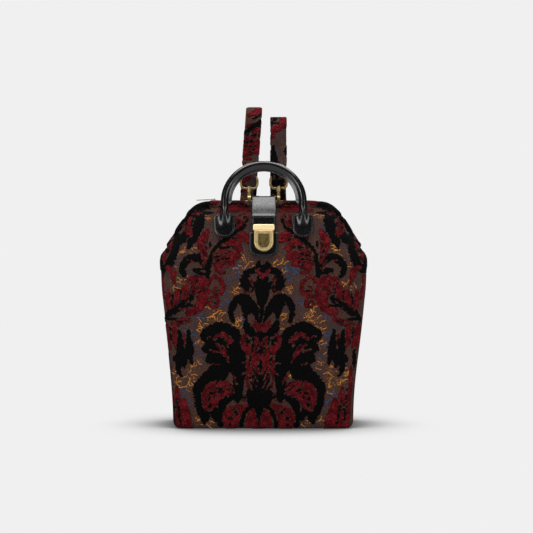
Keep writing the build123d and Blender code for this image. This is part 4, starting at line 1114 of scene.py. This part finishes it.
def band_ring(width, thick, crown=0.0):
    """Section of a strip with round edges and a slightly raised face."""
    edge = thick / 2
    half = width / 2 - edge
    turn = np.linspace(-np.pi / 2, np.pi / 2, 7)
    face = np.linspace(half, -half, 13)[1:-1]
    right = np.stack((half + edge * np.cos(turn), edge * np.sin(turn)), axis=1)
    top = np.stack((face, edge + crown * (1 - (face / max(half, 0.01)) ** 2)), axis=1)
    under = np.stack((face[::-1], np.full(len(face), -edge)), axis=1)
    return np.concatenate((right, top, -right, under))


def on_wall(across, up, out):
    """Places on the sloping front, from across, up and out of it."""
    across, up, out = np.broadcast_arrays(np.asarray(across, dtype=float), up, out)
    place = WALL_POINT + across[..., None] * WALL_ACROSS
    place = place + up[..., None] * WALL_UP
    return place + out[..., None] * WALL_OUT


def leather_piece(name, points):
    """A closed piece of black leather from rings of places in millimetres."""
    piece = show(name, grid_mesh(name, points * MM, closed=True), leather)
    return piece


def sew(name, lines, out, body):
    """A row of stitches along each line, standing out of the leather."""
    places, along = [], []
    for line in lines:
        line = even_line(line, STITCH_PITCH, STITCH_SOFT)
        places.append(line)
        along.append(np.gradient(line, axis=0))
    places = np.concatenate(places)
    outs = out(places) if callable(out) else out
    seam = repeat_shape(name, stitch_tree, places, np.concatenate(along), outs, STITCH_SIZE, thread)
    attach(seam, body)


def patch_width(up, inset=0.0):
    """Half width of the patch at a height up the wall, less an inset."""
    below = np.clip(PATCH_FOOT + PATCH_CORNER - up, 0, PATCH_CORNER - inset)
    corner = PATCH_CORNER - inset
    return PATCH_HALF_WIDTH - PATCH_CORNER + np.sqrt(corner**2 - below**2)


leather = leather_finish()
thread = flecked_finish(
    "waxed_thread", 0.5, 0.4, (1600.0, 1.0), (0.35, 0.65), THREAD_DARK, THREAD_LIGHT)
stitch_tree = repeat_tree("stitch", block=False)
patch_up = np.concatenate((PATCH_FOOT + PATCH_EDGE_RISES, np.arange(1.0, PATCH_TOP, 1.0), [PATCH_TOP]))
patch_thick = np.interp(patch_up, PATCH_FOOT + PATCH_BEVEL_RISES, (*PATCH_BEVEL, PATCH_THICK))
patch_sizes = zip(patch_width(patch_up), patch_thick)
patch_rings = np.stack([band_ring(2 * half, thick, PATCH_CROWN) for half, thick in patch_sizes])
patch_path = on_wall(0, patch_up, PATCH_THICK / 2 + PATCH_GAP)
patch = leather_piece("lock_patch_leather", swept(patch_path, (-1, 0, 0), patch_rings))
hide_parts("lock_patch")
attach(patch, "front_half")
seam_turn = np.radians(np.arange(5, 91, 8))
seam_foot = PATCH_FOOT + PATCH_CORNER - (PATCH_CORNER - PATCH_SEAM_INSET) * np.sin(seam_turn)
seam_up = np.concatenate((np.arange(PATCH_SEAM_TOP, PATCH_SEAM_BEND, -2.0), seam_foot))
seam_half = patch_width(seam_up, PATCH_SEAM_INSET)
seam_across = np.concatenate((-seam_half, seam_half[::-1]))
seam_line = on_wall(seam_across, np.concatenate((seam_up, seam_up[::-1])), PATCH_THICK + STITCH_LIFT)
sew("patch_stitches", [seam_line], WALL_OUT, "front_half")
# The lock is one brass painted in three tones: the case and the tongue get lighter colours and less metal as
# painted highlight, and the dished button a darker colour as painted shade.
case_brass = brass_finish("case_brass", (0.66, 0.49, 0.22), (0.40, 0.28, 0.11), 0.46, 0.76, metal=0.7)
button_brass = brass_finish("button_brass", (0.27, 0.20, 0.075), (0.15, 0.105, 0.035), 0.42, 0.72)
bright_brass = brass_finish("tongue_brass_painted_highlight", (1.0, 0.78, 0.44), (0.72, 0.53, 0.27), 0.52, 0.82, metal=0.5)
dress(case_brass, "lock_case")
dress(button_brass, "lock_button")
dress(bright_brass, "lock_tongue")


# Tab: a broad strap of two layers of black leather, sewn along both edges, from the rear tube over the mouth
# to the lock's bar. Behind it a strip sewn to the rear casing holds its rolled end.
TAB_LINE = ((24.0, 350.0), (17.0, 363.9), (-17.0, 363.9), (-55.2, 331.5), (-59.1, 317.9))
TAB_WIDTH = 38.0
TAB_THICK = 2.8
TAB_SEAM_INSET = 2.7
TAB_STEP, TAB_SOFT = 0.9, 2.2
TAB_CROWN = 0.22
TAB_WAIST, TAB_WAVES = 0.012, 9.0
TAB_KNEE = 329.5
TAB_SEAM_LIFT = 0.1
TAB_SEAM_START = 14
ANCHOR_DEPTH = 24.0
ANCHOR_LEVELS = (342.5, 347.5)
ANCHOR_THICK, ANCHOR_CROWN = 2.6, 0.1
tab_path = even_line([(0, y, z) for y, z in TAB_LINE], TAB_STEP, TAB_SOFT)
tab_rings = np.stack([band_ring(TAB_WIDTH, TAB_THICK, TAB_CROWN)] * len(tab_path))
tab_rings[:, :, 0] *= 1 - TAB_WAIST * np.sin(np.linspace(0, TAB_WAVES, len(tab_path)))[:, None] ** 2
tab = leather_piece("closure_tab_leather", swept(tab_path, (1, 0, 0), tab_rings))
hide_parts("closure_tab")
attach(tab, "closure_tab")
tab_along = np.gradient(tab_path, axis=0)
tab_out = np.cross(tab_along / np.linalg.norm(tab_along, axis=1, keepdims=True), (1.0, 0, 0))
tab_face = tab_path + tab_out * (TAB_THICK / 2 + TAB_SEAM_LIFT)
tab_edge = np.array((TAB_WIDTH / 2 - TAB_SEAM_INSET, 0, 0))


def out_of_tab(places):
    """Outward direction of the tab nearest to each place."""
    gaps = np.linalg.norm(places[:, None, 1:] - tab_face[None, :, 1:], axis=2)
    return tab_out[np.argmin(gaps, axis=1)]


knee = np.argmin(np.abs(tab_path[:, 2] - TAB_KNEE))
cross_seam = [tab_face[knee] - tab_edge, tab_face[knee] + tab_edge]
tab_run = tab_face[TAB_SEAM_START:]
sew("tab_stitches", [tab_run - tab_edge, tab_run + tab_edge, cross_seam], out_of_tab, "closure_tab")
anchor_path = np.array([(0, ANCHOR_DEPTH, z) for z in np.linspace(*ANCHOR_LEVELS, 8)])
anchor_ring = band_ring(TAB_WIDTH, ANCHOR_THICK, ANCHOR_CROWN)
anchor = leather_piece("tab_anchor_leather", swept(anchor_path, (1, 0, 0), anchor_ring))
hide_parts("tab_anchor")
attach(anchor, "root")


# Handle: rolled black leather over a cord, sewn inside the arch, with its ends flattened to eared plates
# that are sewn to the front.
ARCH_RADIUS = 61.5
ARCH_HEIGHT = 88.0
PLATE_FOOT = 30.0
PLATE_HALF_WIDTH = 16.0
EAR_HEIGHT = 65.0
EAR_HALF_WIDTH = 17.0
TUBE_RADIUS = 6.0
TUBE_LIFT = 7.0
TUBE_START = 77.0
TUBE_ROLLS = (62.0, 79.0)
FLARE_HOLLOW = 2.2
PLATE_EDGE_RISES = np.array((0.06, 0.4, 1.0, 1.8, 2.8))
PLATE_EVEN = 34.0
PLATE_LIFT, PLATE_HALF_THICK = 2.0, 1.6
PLATE_EDGE_ROUND, PLATE_FACE_ROUND = 0.6, 0.4
RIDGE_HEIGHT, RIDGE_WIDTH = 9.4, 5.4
RIDGE_RISES = (42.0, 73.0)
SEAM_FIN = 5.4
FIN_EDGE = (0.22, 0.60)
FIN_RISES = (80.0, 88.0)
FIN_HALF_THICK = 1.1
FIN_SHARPNESS = 8
FIN_SEAM_RADIUS, FIN_SEAM_LIFT = 54.0, 1.2
PLATE_SEAM_TOP, PLATE_SEAM_BEND = 62.0, 46.0
PLATE_SEAM_ROUND, PLATE_SEAM_HALF = 13.4, 13.6
PLATE_SEAM_LIFT = 3.75


def plate_width(height):
    """Half width of an end plate: round foot, straight sides, pointed ears and a hollow flare to the tube."""
    foot = PLATE_FOOT + PLATE_HALF_WIDTH
    below = np.clip(foot - height, 0, PLATE_HALF_WIDTH - 0.02)
    width = np.sqrt(PLATE_HALF_WIDTH**2 - below**2)
    width = width + (EAR_HALF_WIDTH - PLATE_HALF_WIDTH) * np.clip((height - foot) / (EAR_HEIGHT - foot), 0, 1)
    flare = np.clip((TUBE_START - height) / (TUBE_START - EAR_HEIGHT), 0, 1)
    hollow = TUBE_RADIUS + (EAR_HALF_WIDTH - TUBE_RADIUS) * flare**FLARE_HOLLOW
    return np.where(height > EAR_HEIGHT, hollow, width)


leg = np.concatenate((PLATE_FOOT + PLATE_EDGE_RISES, np.arange(PLATE_EVEN, ARCH_HEIGHT, 1.0)))
leg_across = np.full(len(leg), ARCH_RADIUS)
arch = np.radians(np.linspace(180, 0, 120))
handle_across = np.concatenate((-leg_across, ARCH_RADIUS * np.cos(arch), leg_across))
handle_up = np.concatenate((leg, ARCH_HEIGHT + ARCH_RADIUS * np.sin(arch), leg[::-1]))
handle_side = np.concatenate((np.full(len(leg), np.pi), arch, np.zeros(len(leg))))
handle_side = np.cos(handle_side)[:, None] * WALL_ACROSS + np.sin(handle_side)[:, None] * WALL_UP
handle_height = np.concatenate((leg, np.full(len(arch), ARCH_HEIGHT), leg[::-1]))[:, None]
around = np.linspace(0, 2 * np.pi, 49)[:-1]
face_side, face_out = np.cos(around), np.sin(around)
plate_side = plate_width(handle_height) * np.sign(face_side) * np.abs(face_side) ** PLATE_EDGE_ROUND
plate_out = PLATE_LIFT + PLATE_HALF_THICK * np.sign(face_out) * np.abs(face_out) ** PLATE_FACE_ROUND
ridge = RIDGE_HEIGHT * ease(*RIDGE_RISES, handle_height) * np.exp(-((plate_side / RIDGE_WIDTH) ** 2))
plate_out = plate_out + np.where(face_out > 0, ridge, 0.0)
fin = (1 - ease(*FIN_EDGE, np.abs(around - np.pi))) * ease(*FIN_RISES, handle_height)
tube_side = TUBE_RADIUS * face_side - SEAM_FIN * fin
fin_face = FIN_HALF_THICK * np.tanh(FIN_SHARPNESS * (np.pi - around)) * fin
tube_out = TUBE_LIFT + TUBE_RADIUS * face_out * (1 - fin) + fin_face
rolled = ease(*TUBE_ROLLS, handle_height)
ring_side = plate_side + (tube_side - plate_side) * rolled
ring_out = plate_out + (tube_out - plate_out) * rolled
handle_rings = np.stack((ring_side, ring_out), axis=2)
handle_path = on_wall(handle_across, handle_up, 0.0)
handle = leather_piece("handle_leather", swept(handle_path, handle_side, handle_rings))
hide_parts("handle")
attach(handle, "front_half")
plate_foot_seam = PLATE_SEAM_BEND - PLATE_SEAM_ROUND * np.sin(np.radians(np.arange(0, 91, 9)))
plate_seam = np.concatenate((np.arange(PLATE_SEAM_TOP, PLATE_SEAM_BEND, -2.0), plate_foot_seam))
foot_half = np.sqrt(np.maximum(PLATE_SEAM_ROUND**2 - (PLATE_SEAM_BEND - plate_seam) ** 2, 0))
plate_half = np.where(plate_seam > PLATE_SEAM_BEND, PLATE_SEAM_HALF, foot_half)
plate_up = np.concatenate((plate_seam, plate_seam[::-1]))
plate_across = np.concatenate((-plate_half, plate_half[::-1]))
handle_seams = [on_wall(side * ARCH_RADIUS + plate_across, plate_up, PLATE_SEAM_LIFT) for side in (-1, 1)]
fin_turn = np.radians(np.linspace(176, 4, 90))
fin_across = FIN_SEAM_RADIUS * np.cos(fin_turn)
fin_up = ARCH_HEIGHT + FIN_SEAM_RADIUS * np.sin(fin_turn)
handle_seams.append(on_wall(fin_across, fin_up, TUBE_LIFT + FIN_SEAM_LIFT))
sew("handle_stitches", handle_seams, WALL_OUT, "front_half")


# Strap hardware: cast brass rings and swivel snap hooks at both ends of each strap, clipped to D-rings.
# Short loops of black leather, sewn to the roof and to the foot of the back, hold the D-rings.
LOOP_WIDTH = 17.6
LOOP_THICK = 1.7
LOOP_ROUND = 3.75
LOOP_STEP, LOOP_SOFT = 0.6, 0.5
ROOF_LOOP_ENDS = (333.6, 336.8)
BACK_LOOP_END = 77.6
# Level, place across, depth and height of each pair of loops
LOOP_PAIRS = (("upper", 24.0, 42.0, 339.4), ("lower", 95.0, 86.0, 32.6))
hook_brass = brass_finish("hook_brass", (0.42, 0.31, 0.14), (0.17, 0.12, 0.05), 0.42, 0.70)
for level, place, depth, height in LOOP_PAIRS:
    for side, name in ((-1, "left"), (1, "right")):
        dress(hook_brass, *(f"{level}_{piece}_{name}" for piece in ("strap_ring", "hook", "gate", "d_ring")))
        turn = np.radians(np.linspace(0, 180, 13))
        if level == "upper":
            loop_line = [(depth + LOOP_ROUND, ROOF_LOOP_ENDS[0])]
            loop_line += [(depth + LOOP_ROUND * np.cos(a), height + LOOP_ROUND * np.sin(a)) for a in turn]
            loop_line.append((depth - LOOP_ROUND, ROOF_LOOP_ENDS[1]))
        else:
            loop_line = [(BACK_LOOP_END, height - LOOP_ROUND)]
            loop_line += [(depth + LOOP_ROUND * np.sin(a), height - LOOP_ROUND * np.cos(a)) for a in turn]
            loop_line.append((BACK_LOOP_END, height + LOOP_ROUND))
        loop_path = even_line([(side * place, y, z) for y, z in loop_line], LOOP_STEP, LOOP_SOFT)
        loop_points = swept(loop_path, (1, 0, 0), band_ring(LOOP_WIDTH, LOOP_THICK))
        loop = leather_piece(f"{level}_loop_{name}", loop_points)
        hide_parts(f"{level}_ring_loop_{name}")
        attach(loop, "root")


# Shoulder straps: carpet cloth folded and sewn double, each with its ends turned round the bars of its rings.
# It rises in front, bends over and runs down the back to the lower corner.
STRAP_WIDTH = 25.6
STRAP_THICK = 2.0
STRAP_PILE = 0.8
STRAP_END_WIDTH = 21.4
STRAP_FRONT, STRAP_BACK = 42.0, 86.0
UPPER_BAR, LOWER_BAR = 399.9, 93.1
BAR_WRAP = 3.9
STRAP_PLACE, STRAP_FOOT = 24.0, 95.0
CLOTH_REPEAT = 340.0
STRAP_CUTS = {"left": (60.0, 170.0), "right": (104.0, 60.0)}
STRAP_SOFT, STRAP_SPREAD = 1.2, 16.0
STRAP_NARROWS = (6.0, 26.0)
# Depths and heights where the doubled ends lie, from the inner end round the bar and out again
TOP_INNER = ((44.2, 432.0), (45.4, 416.0))
TOP_OUTER = ((39.2, 416.0), (41.2, 432.0))
TOP_LEAVES_BAR, TOP_UPRIGHT = 404.0, 446.0
FORK_LEVEL = 352.0
FOOT_OUTER = ((STRAP_BACK, 165.0), (STRAP_BACK, 140.0), (88.0, 118.0))
FOOT_INNER = ((84.0, 112.0), (84.4, 122.0))
FOOT_LEAVES_BAR = 98.0
BETWEEN_RUNS, OTHER_RUN = 60.0, 200.0
# Side, name, height of the bend and lean in degrees
STRAPS = ((-1, "left", 492.0, 4.0), (1, "right", 476.0, 0.0))


def round_bar(depth, level, leaves):
    """The turn of a strap's end under a ring's bar, from behind it to before it."""
    turn = np.radians(np.linspace(0, 180, 11))
    wrap = [(depth + BAR_WRAP * np.cos(a), level - BAR_WRAP * np.sin(a)) for a in turn]
    return [(depth + BAR_WRAP, leaves), *wrap, (depth - BAR_WRAP, leaves)]


for side, name, bend, lean_deg in STRAPS:
    lean = math.tan(math.radians(lean_deg))
    middle, round_over = (STRAP_FRONT + STRAP_BACK) / 2, (STRAP_BACK - STRAP_FRONT) / 2
    over = [(middle + round_over * np.cos(a), bend + round_over * np.sin(a))
            for a in np.radians(np.linspace(180, 0, 17))]
    top_line = [*TOP_INNER, *round_bar(STRAP_FRONT, UPPER_BAR, TOP_LEAVES_BAR), *TOP_OUTER]
    top_line += [(STRAP_FRONT, TOP_UPRIGHT), *over, (STRAP_BACK, FORK_LEVEL)]
    foot_line = [*FOOT_OUTER, *round_bar(STRAP_BACK, LOWER_BAR, FOOT_LEAVES_BAR), *FOOT_INNER]
    strap_line = [(side * STRAP_PLACE + lean * (z - UPPER_BAR), y, z) for y, z in top_line]
    strap_line += [(side * STRAP_FOOT, y, z) for y, z in foot_line]
    strap_path = even_line(strap_line, CLOTH_STEP, STRAP_SOFT)
    spread_rows = int(3 * STRAP_SPREAD / CLOTH_STEP)
    strap_path[:, :1] = soften(strap_path[:, :1], CLOTH_STEP, STRAP_SPREAD, spread_rows)
    to_upper = np.abs(strap_path[:, 2] - UPPER_BAR) + OTHER_RUN * (strap_path[:, 1] > BETWEEN_RUNS)
    to_bar = np.minimum(to_upper, np.abs(strap_path[:, 2] - LOWER_BAR))
    strap_width = STRAP_END_WIDTH + (STRAP_WIDTH - STRAP_END_WIDTH) * ease(*STRAP_NARROWS, to_bar)
    strap_rings = np.stack([band_ring(width, STRAP_THICK) for width in strap_width])
    strap_points = swept(strap_path, (-1, 0, 0), strap_rings)
    cut_across, cut_up = STRAP_CUTS[name]
    strap_length = (np.arange(len(strap_path)) * CLOTH_STEP)[:, None] + cut_up
    strap_up = np.repeat(strap_length, strap_rings.shape[1], axis=1)
    strap_up = CLOTH_REPEAT - np.abs(strap_up % (2 * CLOTH_REPEAT) - CLOTH_REPEAT)
    strap_across = strap_rings[:, :, 0] + cut_across
    strap = pile_cloth(
        f"strap_{name}_cloth", strap_points * MM, strap_across, strap_up, closed=True, pile=STRAP_PILE)
    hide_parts(f"strap_{name}")
    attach(strap, "root")


# Studio: a pale floor with a soft shadow painted on it under the bag, and a background of the same tone.
# A broad soft lamp hangs overhead, with weaker ones at both sides and behind.
PALE = 0.871
FLOOR_HALF = 30
SHADOW_REACH = 0.15
CAMERA_PLACE = (0.0043, -2.2, 0.2525)
CAMERA_ANGLE_DEG = 22.02


def mix_shaders(tree, share, first, second):
    """One shader or another, by a share."""
    mix = add_node(tree, "ShaderNodeMixShader")
    for socket, value in zip(mix.inputs, (share, first, second)):
        tree.links.new(value, socket)
    return mix.outputs[0]


floor_mesh = bpy.data.meshes.new("floor")
floor_corners = [(x * FLOOR_HALF, y * FLOOR_HALF, 0) for x, y in ((-1, -1), (1, -1), (1, 1), (-1, 1))]
floor_mesh.from_pydata(floor_corners, [], [(0, 1, 2, 3)])
floor_finish = bpy.data.materials.new("pale_floor")
floor_finish.use_nodes = True
tree = floor_finish.node_tree
tree.nodes.clear()
seen = add_node(tree, "ShaderNodeLightPath")
seen_by = calculate(tree, "MAXIMUM", seen.outputs["Is Camera Ray"], seen.outputs["Is Glossy Ray"])
seen_by = calculate(tree, "MAXIMUM", seen_by, seen.outputs["Is Transmission Ray"])
# Painted shadow: the floor's glow is darkened where the bag is near.
nearness = add_node(tree, "ShaderNodeAmbientOcclusion", samples=16, Distance=SHADOW_REACH)
shadow = between(tree, nearness.outputs["AO"], 0.42, 0.98, 0.12, 1.0)
glow = add_node(tree, "ShaderNodeEmission")
tree.links.new(blend_colours(tree, shadow, (0.02, 0.02, 0.02), (PALE, PALE, PALE)), glow.inputs["Color"])
matt = add_node(tree, "ShaderNodeBsdfDiffuse", Color=(0.8, 0.8, 0.8, 1))
either = mix_shaders(tree, seen_by, matt.outputs[0], glow.outputs[0])
tree.links.new(either, add_node(tree, "ShaderNodeOutputMaterial").inputs["Surface"])
floor = show("floor", floor_mesh, floor_finish)

world = bpy.data.worlds.new("studio")
bpy.context.scene.world = world
world.use_nodes = True
tree = world.node_tree
tree.nodes.clear()
seen = add_node(tree, "ShaderNodeLightPath")
seen_by = calculate(tree, "MAXIMUM", seen.outputs["Is Camera Ray"], seen.outputs["Is Transmission Ray"])
room = add_node(tree, "ShaderNodeBackground", Color=(1, 1, 1, 1), Strength=0.30)
mirrored = add_node(tree, "ShaderNodeBackground", Color=(1, 1, 1, 1), Strength=0.05)
pale = add_node(tree, "ShaderNodeBackground", Color=(PALE, PALE, PALE, 1), Strength=1.0)
lit = mix_shaders(tree, seen.outputs["Is Glossy Ray"], room.outputs[0], mirrored.outputs[0])
lit = mix_shaders(tree, seen_by, lit, pale.outputs[0])
tree.links.new(lit, add_node(tree, "ShaderNodeOutputWorld").inputs["Surface"])


def soft_lamp(name, place, aim, width, height, power):
    """A soft box that faces a point on the bag."""
    lamp = bpy.data.lights.new(name, "AREA")
    lamp.shape = "RECTANGLE"
    lamp.size = width
    lamp.size_y = height
    lamp.energy = power
    holder = bpy.data.objects.new(name, lamp)
    holder.location = place
    holder.rotation_euler = (Vector(aim) - Vector(place)).to_track_quat("-Z", "Y").to_euler()
    bpy.context.scene.collection.objects.link(holder)


soft_lamp("overhead", (0.0, -0.1, 1.75), (0, -0.05, 0.25), 1.6, 1.1, 36)
soft_lamp("front_left", (-1.3, -1.7, 1.0), (0, 0, 0.22), 0.9, 1.0, 19)
soft_lamp("front_right", (1.5, -1.5, 0.9), (0, 0, 0.22), 0.8, 1.0, 12)
soft_lamp("behind", (0.3, 1.5, 1.3), (0, 0, 0.35), 1.4, 0.8, 16)

camera_data = bpy.data.cameras.new("camera")
camera_data.sensor_width = 36
camera_data.angle = math.radians(CAMERA_ANGLE_DEG)
camera = bpy.data.objects.new("camera", camera_data)
camera.location = CAMERA_PLACE
camera.rotation_euler = (math.pi / 2, 0, 0)
bpy.context.scene.collection.objects.link(camera)
bpy.context.scene.camera = camera
bpy.context.scene.view_settings.view_transform = "Standard"
